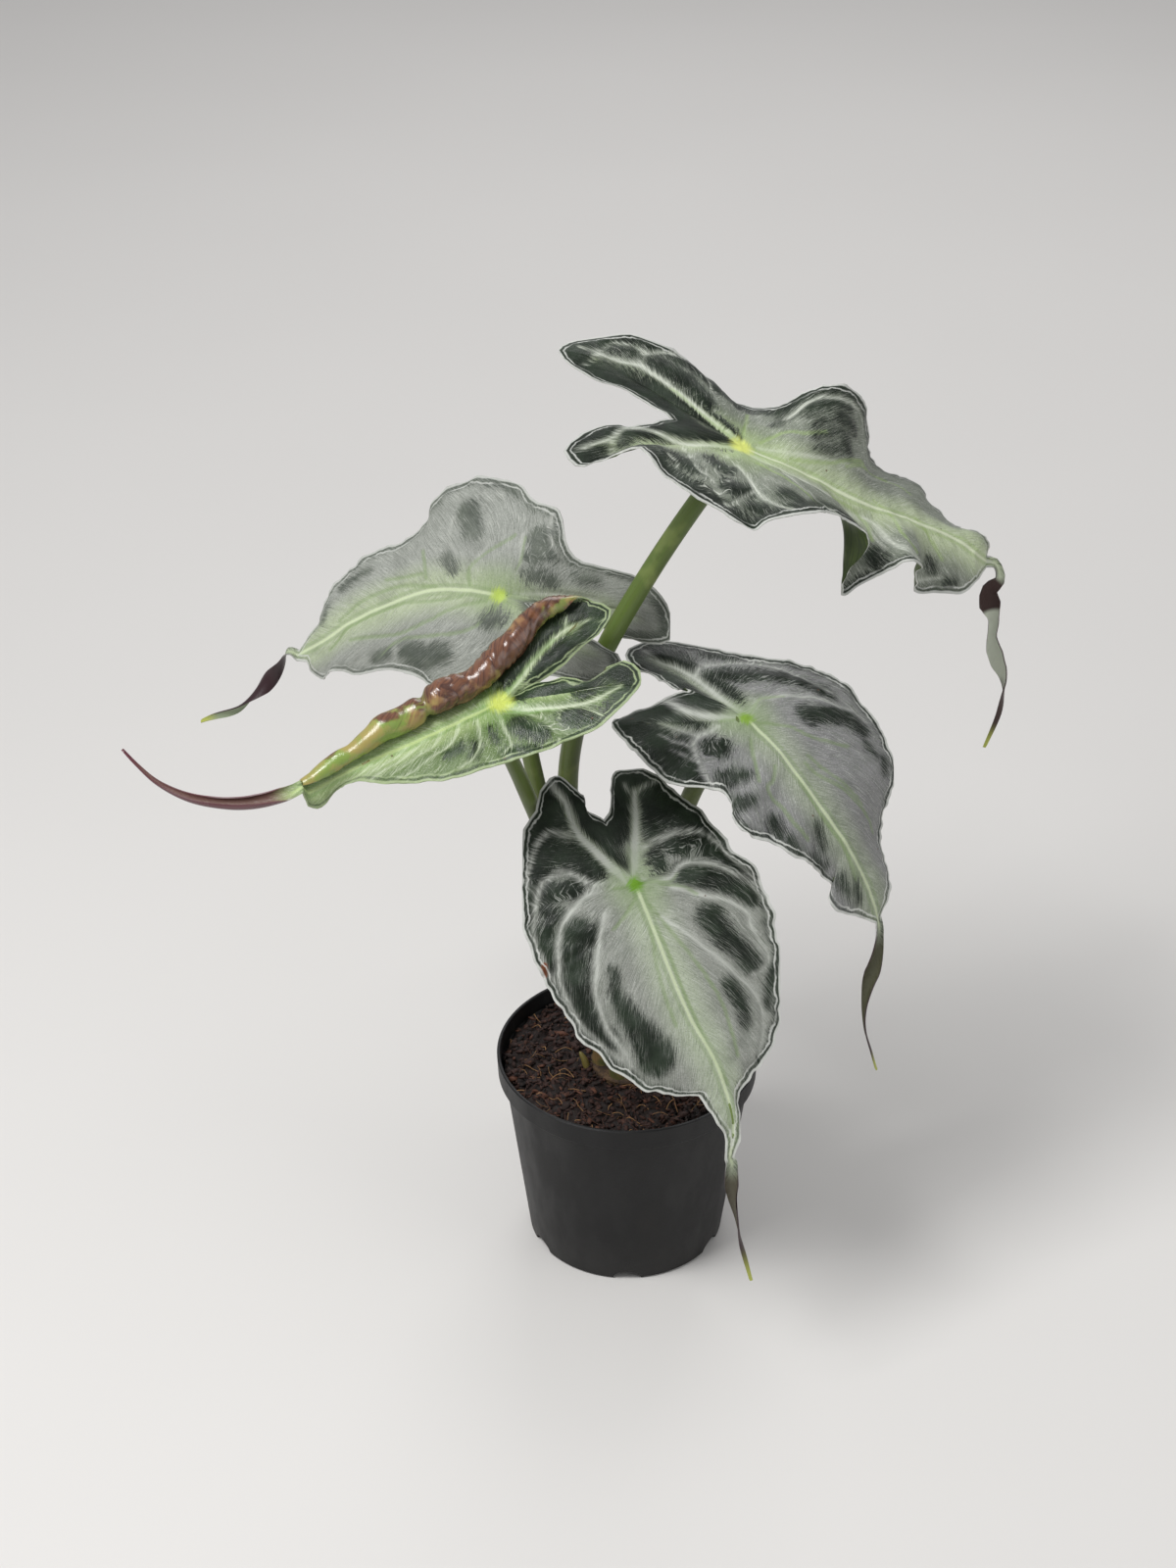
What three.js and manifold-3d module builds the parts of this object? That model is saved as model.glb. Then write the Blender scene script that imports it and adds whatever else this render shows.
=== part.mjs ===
// A venom alocasia in a black nursery pot: five sculpted blades with drip tips on five stalks.
// Millimetres. Origin at the centre of the pot's base, +Z up, the viewer's side at -Y.
import * as THREE from "three";
import { mergeVertices } from "three/addons/utils/BufferGeometryUtils.js";
import Module from "manifold-3d";

const wasm = await Module();
wasm.setup();

// Pot
const POT_HEIGHT = 100;
const POT_RIM_RADIUS = 60;
const POT_BASE_RADIUS = 45.5;
const POT_WALL = 1.6;
const POT_FLOOR = 2;
const POT_BAND_HEIGHT = 11;
const POT_BAND_STEP = 2.6;
const POT_SEGMENTS = 48;
const DRAIN_COUNT = 6;
const DRAIN_WIDTH = 13;
const DRAIN_HEIGHT = 5;
const DRAIN_REACH = 7;

// Growing mix and the corm that stands in it
const SEAT_GAP = 0.3;
const SOIL_TOP = 91;
const SOIL_RELIEF = 1.1;
const SOIL_SEGMENTS = 40;
const SOIL_RINGS = 7;
const CORM_RADIUS = 17.5;
const CORM_TOP = 95;
const CORM_BOTTOM = 60;
const CORM_SEGMENTS = 24;

// Stalks
const FOOT_RING = 10.6;
const FOOT_BOTTOM = 86;
const FOOT_TOP = 100;
const STALK_SIDES = 12;
const STALK_ROWS = 15;
const STALK_THROUGH = 5;
const STALK_END_GAP = 0.35;

// Blades
const BLADE_THICKNESS = 0.8;
const RIB_DEPTH = 1;
const LOBE_ROWS = 5;
const MAIN_ROWS = 26;
const TAIL_ROWS = 13;
const ROOT_POWER = 1.35;
const VEIN_BOW = 0.3;
const PANEL_ARCH = 0.05;
const QUILT_HEIGHT = 0.9;
const QUILT_VEINS = [1, 2, 5];
const FADE_SHARE = 0.15;
const LOBE_FADE = 0.6;
const MARGIN_STEPS = 12;
const FLAT_COLUMNS = [0, 0.22, 0.46, 0.68, 0.86, 1];
const ROLL_COLUMNS = 16;
const SCROLL_TIGHTENS = 0.44;
const SCROLL_START = 0.25;

const COLOURS = {
  pot: 0x17171a,
  soil: 0x3a211a,
  corm: 0x6a5138,
  stalk: 0x6f8f45,
  blade: 0x8fa593,
};

const vec = ([x, y, z]) => new THREE.Vector3(x, y, z);
const radians = (degrees) => (degrees * Math.PI) / 180;
const mix = (a, b, t) => a + (b - a) * t;
const smooth = (t) => {
  const u = Math.min(Math.max(t, 0), 1);
  return u * u * (3 - 2 * u);
};

// The value at t (0 to 1) along an evenly spaced list.
function sample(list, t) {
  const place = Math.min(Math.max(t, 0), 1) * (list.length - 1);
  const i = Math.min(Math.floor(place), list.length - 2);
  return mix(list[i], list[i + 1], place - i);
}

function surface(colour, roughness) {
  return new THREE.MeshStandardMaterial({ color: colour, roughness, metalness: 0 });
}

function toManifold(geometry) {
  const plain = geometry.clone();
  plain.deleteAttribute("normal");
  plain.deleteAttribute("uv");
  const merged = mergeVertices(plain, 1e-3);
  const mesh = new wasm.Mesh({
    numProp: 3,
    vertProperties: new Float32Array(merged.attributes.position.array),
    triVerts: new Uint32Array(merged.index.array),
  });
  return new wasm.Manifold(mesh);
}

function toGeometry(manifold) {
  const mesh = manifold.getMesh();
  const geometry = new THREE.BufferGeometry();
  geometry.setAttribute("position", new THREE.BufferAttribute(mesh.vertProperties, 3));
  geometry.setIndex(new THREE.BufferAttribute(mesh.triVerts, 1));
  return geometry;
}

// A profile of [radius, height] points turned about the upright axis.
function turned(profile, segments) {
  const points = profile.map(([r, z]) => new THREE.Vector2(r, z));
  return new THREE.LatheGeometry(points, segments).rotateX(Math.PI / 2);
}

// Rows of points, each a closed ring, skinned into one solid with flat ends.
function loft(rings) {
  const sides = rings[0].length;
  const positions = [];
  const index = [];
  rings.forEach((ring) => ring.forEach((p) => positions.push(p.x, p.y, p.z)));
  for (let i = 0; i + 1 < rings.length; i++) {
    for (let j = 0; j < sides; j++) {
      const k = (j + 1) % sides;
      const [a, b] = [i * sides + j, i * sides + k];
      index.push(a, b, b + sides, a, b + sides, a + sides);
    }
  }
  const last = (rings.length - 1) * sides;
  for (let j = 1; j + 1 < sides; j++) {
    index.push(0, j + 1, j);
    index.push(last, last + j, last + j + 1);
  }
  const geometry = new THREE.BufferGeometry();
  geometry.setAttribute("position", new THREE.Float32BufferAttribute(positions, 3));
  geometry.setIndex(index);
  return geometry;
}

// Pot: tapered wall, stepped rim band, flat base with drain notches round its edge
function makePot() {
  const bandBottom = POT_HEIGHT - POT_BAND_HEIGHT;
  const shoulder = POT_RIM_RADIUS - 0.8 - POT_BAND_STEP;
  const profile = [
    [0, 0],
    [POT_BASE_RADIUS - 1, 0],
    [POT_BASE_RADIUS, 1],
    [shoulder, bandBottom],
    [POT_RIM_RADIUS - 1, bandBottom],
    [POT_RIM_RADIUS - 0.5, bandBottom + 0.6],
    [POT_RIM_RADIUS, POT_HEIGHT - 0.5],
    [POT_RIM_RADIUS - 0.5, POT_HEIGHT],
    [POT_RIM_RADIUS - POT_WALL + 0.3, POT_HEIGHT],
    [POT_RIM_RADIUS - POT_WALL, POT_HEIGHT - 0.4],
    [POT_RIM_RADIUS - POT_WALL - 0.6, bandBottom + 2.2],
    [shoulder - POT_WALL, bandBottom - 1.4],
    [POT_BASE_RADIUS - POT_WALL, POT_FLOOR + 1],
    [POT_BASE_RADIUS - POT_WALL - 1, POT_FLOOR],
    [0, POT_FLOOR],
  ];
  let pot = toManifold(turned(profile, POT_SEGMENTS));
  const notch = new THREE.Shape();
  notch.moveTo(-DRAIN_WIDTH / 2, -1);
  notch.lineTo(DRAIN_WIDTH / 2, -1);
  notch.lineTo(DRAIN_WIDTH / 2, DRAIN_HEIGHT * 0.4);
  notch.quadraticCurveTo(DRAIN_WIDTH / 2, DRAIN_HEIGHT, 0, DRAIN_HEIGHT);
  notch.quadraticCurveTo(-DRAIN_WIDTH / 2, DRAIN_HEIGHT, -DRAIN_WIDTH / 2, DRAIN_HEIGHT * 0.4);
  notch.closePath();
  for (let i = 0; i < DRAIN_COUNT; i++) {
    const cutter = new THREE.ExtrudeGeometry(notch, {
      depth: DRAIN_REACH + 3,
      bevelEnabled: false,
      curveSegments: 5,
    });
    cutter.rotateX(Math.PI / 2);
    cutter.translate(0, -(POT_BASE_RADIUS - DRAIN_REACH), 0);
    cutter.rotateZ((i * 2 * Math.PI) / DRAIN_COUNT);
    pot = pot.subtract(toManifold(cutter));
  }
  return toGeometry(pot);
}

// Height of the growing mix: low lumps that never repeat round the pot
function soilHeight(x, y) {
  const lumps =
    Math.sin(0.31 * x + 1.3) * Math.cos(0.27 * y - 0.4) +
    0.6 * Math.sin(0.52 * y + 0.23 * x) +
    0.5 * Math.cos(0.61 * x - 0.37 * y + 2);
  return SOIL_TOP + SOIL_RELIEF * lumps;
}

function makeSoil() {
  const seat = POT_FLOOR + SEAT_GAP;
  const wall = POT_WALL + SEAT_GAP + 0.2;
  const foot = POT_BASE_RADIUS - wall - 0.8;
  const shoulder = POT_RIM_RADIUS - 0.8 - POT_BAND_STEP - wall;
  const bandBottom = POT_HEIGHT - POT_BAND_HEIGHT;
  const hole = CORM_RADIUS + SEAT_GAP;
  const topRadius = shoulder + 0.4;
  const profile = [
    [0, seat, 0],
    [foot - 1, seat, 0],
    [foot, seat + 1.4, 0],
    [shoulder, bandBottom - 1.8, 0],
  ];
  for (let i = 0; i < SOIL_RINGS; i++) {
    profile.push([mix(topRadius, hole, i / (SOIL_RINGS - 1)), SOIL_TOP, 1]);
  }
  profile.push([hole, CORM_BOTTOM - SEAT_GAP, 0]);
  profile.push([0, CORM_BOTTOM - SEAT_GAP, 0]);
  const geometry = turned(profile, SOIL_SEGMENTS);
  const position = geometry.getAttribute("position");
  for (let i = 0; i < position.count; i++) {
    if (profile[i % profile.length][2]) {
      position.setZ(i, soilHeight(position.getX(i), position.getY(i)));
    }
  }
  return toGeometry(toManifold(geometry));
}

// Corm: a squat rounded stem base with one plain blind hole for each stalk
function makeCorm(feet) {
  const profile = [
    [0, CORM_BOTTOM],
    [9, CORM_BOTTOM],
    [14, CORM_BOTTOM + 4],
    [17, CORM_BOTTOM + 12],
    [CORM_RADIUS, CORM_BOTTOM + 22],
    [CORM_RADIUS, CORM_TOP - 1.6],
    [CORM_RADIUS - 0.9, CORM_TOP - 0.3],
    [CORM_RADIUS - 2, CORM_TOP],
    [0, CORM_TOP],
  ];
  let corm = toManifold(turned(profile, CORM_SEGMENTS));
  for (const { x, y, radius } of feet) {
    const depth = CORM_TOP - FOOT_BOTTOM + SEAT_GAP;
    const bore = new THREE.CylinderGeometry(radius + SEAT_GAP, radius + SEAT_GAP, depth + 2, 16);
    bore.rotateX(Math.PI / 2);
    bore.translate(x, y, FOOT_BOTTOM - SEAT_GAP + (depth + 2) / 2);
    corm = corm.subtract(toManifold(bore));
  }
  return toGeometry(corm);
}

// A blade's own frame: along its midrib, across to its left, and up off its face
function leafFrame({ heart, azimuth, droop, roll }) {
  const [a, p, r] = [azimuth, droop, roll].map(radians);
  const along = new THREE.Vector3(
    Math.cos(a) * Math.cos(p),
    Math.sin(a) * Math.cos(p),
    -Math.sin(p),
  );
  const level = new THREE.Vector3(-Math.sin(a), Math.cos(a), 0);
  const over = along.clone().cross(level);
  const across = level.clone().multiplyScalar(Math.cos(r)).addScaledVector(over, Math.sin(r));
  const up = along.clone().cross(across);
  const origin = vec(heart);
  const place = ([x, y, z]) =>
    origin.clone().addScaledVector(along, x).addScaledVector(across, y).addScaledVector(up, z);
  return { origin, along, across, up, place };
}

// The margin of one half, from the sinus round the lobe and the shoulder to the tip
function marginOf(half, place) {
  const curve = new THREE.CatmullRomCurve3(half.edge.map(place), false, "centripetal");
  const last = half.edge.length - 1;
  const steps = MARGIN_STEPS * last;
  const lengths = [0];
  let before = curve.getPoint(0);
  for (let i = 1; i <= steps; i++) {
    const here = curve.getPoint(i / steps);
    lengths.push(lengths[i - 1] + here.distanceTo(before));
    before = here;
  }
  const lengthAt = (knot) => lengths[knot * MARGIN_STEPS];
  // The point a share s of the way along the margin between two of its knots
  return (from, to, s) => {
    const wanted = mix(lengthAt(from), lengthAt(to), s);
    let i = from * MARGIN_STEPS;
    while (i < to * MARGIN_STEPS - 1 && lengths[i + 1] < wanted) {
      i++;
    }
    const gap = lengths[i + 1] - lengths[i];
    const part = gap > 0 ? (wanted - lengths[i]) / gap : 0;
    return curve.getPoint(Math.min((i + part) / steps, 1));
  };
}

// One vein line: out sideways from its root, curving forward to the margin
function veinPoint({ root, end, forward, bow, up, quilt, r }) {
  const reach = end.clone().sub(root);
  const ahead = reach.dot(forward);
  const control = root
    .clone()
    .addScaledVector(reach, 0.5)
    .addScaledVector(forward, -bow * ahead);
  const swell = Math.sin(Math.PI * r) * (PANEL_ARCH * reach.length() + quilt);
  return root
    .clone()
    .multiplyScalar((1 - r) * (1 - r))
    .addScaledVector(control, 2 * r * (1 - r))
    .addScaledVector(end, r * r)
    .addScaledVector(up, swell);
}

// A far half that curls up and over into a scroll beyond its base line
function rolledPoint({ root, end, up, forward, strip, radius, r }) {
  const flat = root.distanceTo(end);
  const run = r * (flat + strip);
  if (run <= flat) {
    const swell = Math.sin((Math.PI * run) / flat) * PANEL_ARCH * flat;
    return root.clone().lerp(end, run / flat).addScaledVector(up, swell);
  }
  const out = end.clone().sub(root);
  out.addScaledVector(forward, -out.dot(forward)).normalize();
  const rise = forward.clone().cross(out);
  if (rise.dot(up) < 0) {
    rise.negate();
  }
  const wound = (run - flat) / strip;
  const angle = (wound * strip) / (radius * (1 - SCROLL_TIGHTENS / 2));
  const reach = radius * (1 - SCROLL_TIGHTENS * wound);
  return end
    .clone()
    .addScaledVector(rise, radius - reach * Math.cos(angle))
    .addScaledVector(out, reach * Math.sin(angle));
}

// The flat half's column that lies nearest to r, so that two halves meet point for point
function snapped(r) {
  return FLAT_COLUMNS.reduce((a, b) => (Math.abs(b - r) < Math.abs(a - r) ? b : a));
}

function halfRows(leaf, frame, side) {
  const half = side > 0 ? leaf.left : leaf.right;
  const columns = half.scroll
    ? Array.from({ length: ROLL_COLUMNS + 1 }, (_, i) => i / ROLL_COLUMNS)
    : FLAT_COLUMNS;
  const margin = marginOf(half, frame.place);
  const midrib = new THREE.CatmullRomCurve3([[0, 0, 0], ...leaf.midrib].map(frame.place));
  const rib = frame.place(half.rib);
  const ribLine = rib.clone().sub(frame.origin).normalize();
  const last = half.edge.length - 1;
  const rows = [];
  const sections = [
    [0, half.lobe, LOBE_ROWS, (s) => frame.origin.clone().lerp(rib, s)],
    [half.lobe, half.shoulder, LOBE_ROWS, (s) => rib.clone().lerp(frame.origin, s)],
    [half.shoulder, last, MAIN_ROWS, (s) => midrib.getPointAt(s ** ROOT_POWER)],
  ];
  sections.forEach(([from, to, count, rootAt], section) => {
    const isMain = section === 2;
    for (let i = 0; i < count; i++) {
      const s = i / count;
      const root = rootAt(s);
      const end = margin(from, to, s);
      const forward = isMain ? midrib.getTangentAt(s ** ROOT_POWER) : ribLine;
      const bow = VEIN_BOW * (isMain ? smooth(s / FADE_SHARE) : 4 * s * (1 - s));
      const fade = smooth((1 - s) / FADE_SHARE) * (isMain ? 1 : LOBE_FADE);
      const wave = 0.5 - 0.5 * Math.cos(2 * Math.PI * QUILT_VEINS[section] * s);
      const quilt = QUILT_HEIGHT * fade * wave;
      const scroll = section > 0 ? half.scroll : null;
      const turn = isMain ? mix(SCROLL_START, 1, s) : SCROLL_START * s;
      const vein = { root, end, forward, bow, up: frame.up, quilt };
      const roll = scroll && {
        ...vein,
        forward: frame.along,
        strip: sample(scroll.strip, turn),
        radius: sample(scroll.radius, turn),
      };
      rows.push(
        columns.map((r) =>
          roll ? rolledPoint({ ...roll, r }) : veinPoint({ ...vein, r: snapped(r) }),
        ),
      );
    }
  });
  return { rows, columns };
}

// The drip tip: a ribbon that narrows, turns and troughs as it hangs
function tailRows(leaf, frame, columns, side) {
  const centre = new THREE.CatmullRomCurve3(leaf.tail.line.map(vec), false, "centripetal");
  const rows = [];
  const across = frame.across.clone();
  for (let i = 0; i <= TAIL_ROWS; i++) {
    const t = i / TAIL_ROWS;
    const tangent = centre.getTangentAt(t);
    across.addScaledVector(tangent, -across.dot(tangent)).normalize();
    const width = sample(leaf.tail.width, t);
    const turn = radians(sample(leaf.tail.twist, t));
    const curl = sample(leaf.tail.curl, t);
    const flat = across.clone().applyAxisAngle(tangent, turn);
    const rise = tangent.clone().cross(flat);
    const point = centre.getPointAt(t);
    rows.push(
      columns.map((r) => {
        const angle = (snapped(r) * curl) / 2;
        const arc = width / curl;
        return point
          .clone()
          .addScaledVector(flat, side * arc * Math.sin(angle))
          .addScaledVector(rise, arc * (1 - Math.cos(angle)));
      }),
    );
  }
  return rows;
}

// Both halves and the drip tip as one sheet, thickened evenly off its own normals
function makeBlade(leaf) {
  const frame = leafFrame(leaf);
  const positions = [];
  const push = (...points) => points.forEach((p) => positions.push(p.x, p.y, p.z));
  const ribs = [];
  for (const side of [1, -1]) {
    const { rows, columns } = halfRows(leaf, frame, side);
    const tail = tailRows(leaf, frame, columns, side);
    const all = [...rows, ...tail];
    all.forEach((row, i) => ribs.push([row[0], i < rows.length ? 1 - i / rows.length : 0]));
    for (let i = 0; i + 1 < all.length; i++) {
      for (let j = 0; j + 1 < columns.length; j++) {
        const [a, b, c, d] = [all[i][j], all[i][j + 1], all[i + 1][j + 1], all[i + 1][j]];
        if (side > 0) {
          push(a, c, b, a, d, c);
        } else {
          push(a, b, c, a, c, d);
        }
      }
    }
  }
  const loose = new THREE.BufferGeometry();
  loose.setAttribute("position", new THREE.Float32BufferAttribute(positions, 3));
  const sheet = mergeVertices(loose, 1e-3);
  sheet.computeVertexNormals();
  return toGeometry(toManifold(thicken(sheet, ribs)));
}

function thicken(sheet, ribs) {
  const position = sheet.getAttribute("position");
  const normal = sheet.getAttribute("normal");
  const count = position.count;
  const depthAt = (p) => {
    const near = ribs.find(([q]) => q.distanceToSquared(p) < 1e-4);
    return near ? RIB_DEPTH * near[1] : 0;
  };
  const top = [];
  const bottom = [];
  for (let i = 0; i < count; i++) {
    const p = new THREE.Vector3().fromBufferAttribute(position, i);
    const n = new THREE.Vector3().fromBufferAttribute(normal, i);
    const upper = p.clone().addScaledVector(n, BLADE_THICKNESS / 2);
    const lower = p.clone().addScaledVector(n, -BLADE_THICKNESS / 2 - depthAt(p));
    top.push(upper.x, upper.y, upper.z);
    bottom.push(lower.x, lower.y, lower.z);
  }
  const index = [];
  const edges = new Map();
  const faces = sheet.index.array;
  for (let i = 0; i < faces.length; i += 3) {
    const [a, b, c] = [faces[i], faces[i + 1], faces[i + 2]];
    if (a === b || b === c || a === c) {
      continue;
    }
    index.push(a, b, c, a + count, c + count, b + count);
    for (const [p, q] of [[a, b], [b, c], [c, a]]) {
      if (!edges.delete(`${q},${p}`)) {
        edges.set(`${p},${q}`, [p, q]);
      }
    }
  }
  for (const [p, q] of edges.values()) {
    index.push(q, p, p + count, q, p + count, q + count);
  }
  const geometry = new THREE.BufferGeometry();
  geometry.setAttribute("position", new THREE.Float32BufferAttribute([...top, ...bottom], 3));
  geometry.setIndex(index);
  return geometry;
}

// A stalk: upright in its hole, arching out, narrowing to the blade it carries
function makeStalk(leaf, blade) {
  const frame = leafFrame(leaf);
  const { x, y } = footOf(leaf);
  const line = [
    [x, y, FOOT_BOTTOM],
    [x, y, mix(FOOT_BOTTOM, FOOT_TOP, 0.5)],
    [x, y, FOOT_TOP],
    ...leaf.stalk.line,
    leaf.heart,
  ].map(vec);
  const arrival = line[line.length - 1].clone().sub(line[line.length - 2]).normalize();
  line.push(frame.origin.clone().addScaledVector(arrival, STALK_THROUGH));
  const centre = new THREE.CatmullRomCurve3(line, false, "centripetal");
  const side = new THREE.Vector3(1, 0, 0);
  const rings = [];
  const steps = line.length - 1;
  const rows = [0, 1, 2];
  for (let i = 1; i <= STALK_ROWS; i++) {
    rows.push(mix(2, steps, i / STALK_ROWS));
  }
  for (const place of rows) {
    const t = place / steps;
    const tangent = centre.getTangent(t);
    side.addScaledVector(tangent, -side.dot(tangent)).normalize();
    const other = tangent.clone().cross(side);
    const radius = mix(leaf.stalk.foot, leaf.stalk.top, Math.max(place - 2, 0) / (steps - 2));
    const point = centre.getPoint(t);
    const ring = [];
    for (let j = 0; j < STALK_SIDES; j++) {
      const angle = (2 * Math.PI * j) / STALK_SIDES;
      ring.push(
        point
          .clone()
          .addScaledVector(side, radius * Math.cos(angle))
          .addScaledVector(other, radius * Math.sin(angle)),
      );
    }
    rings.push(ring);
  }
  const drop = frame.up.clone().multiplyScalar(-STALK_END_GAP);
  const cutter = toManifold(blade).translate([drop.x, drop.y, drop.z]);
  const pieces = toManifold(loft(rings)).subtract(cutter).decompose();
  pieces.sort((a, b) => b.volume() - a.volume());
  return toGeometry(pieces[0]);
}

function footOf(leaf) {
  const angle = radians(leaf.stalk.footAngle);
  return {
    x: FOOT_RING * Math.cos(angle),
    y: FOOT_RING * Math.sin(angle),
    radius: leaf.stalk.foot,
  };
}

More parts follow.
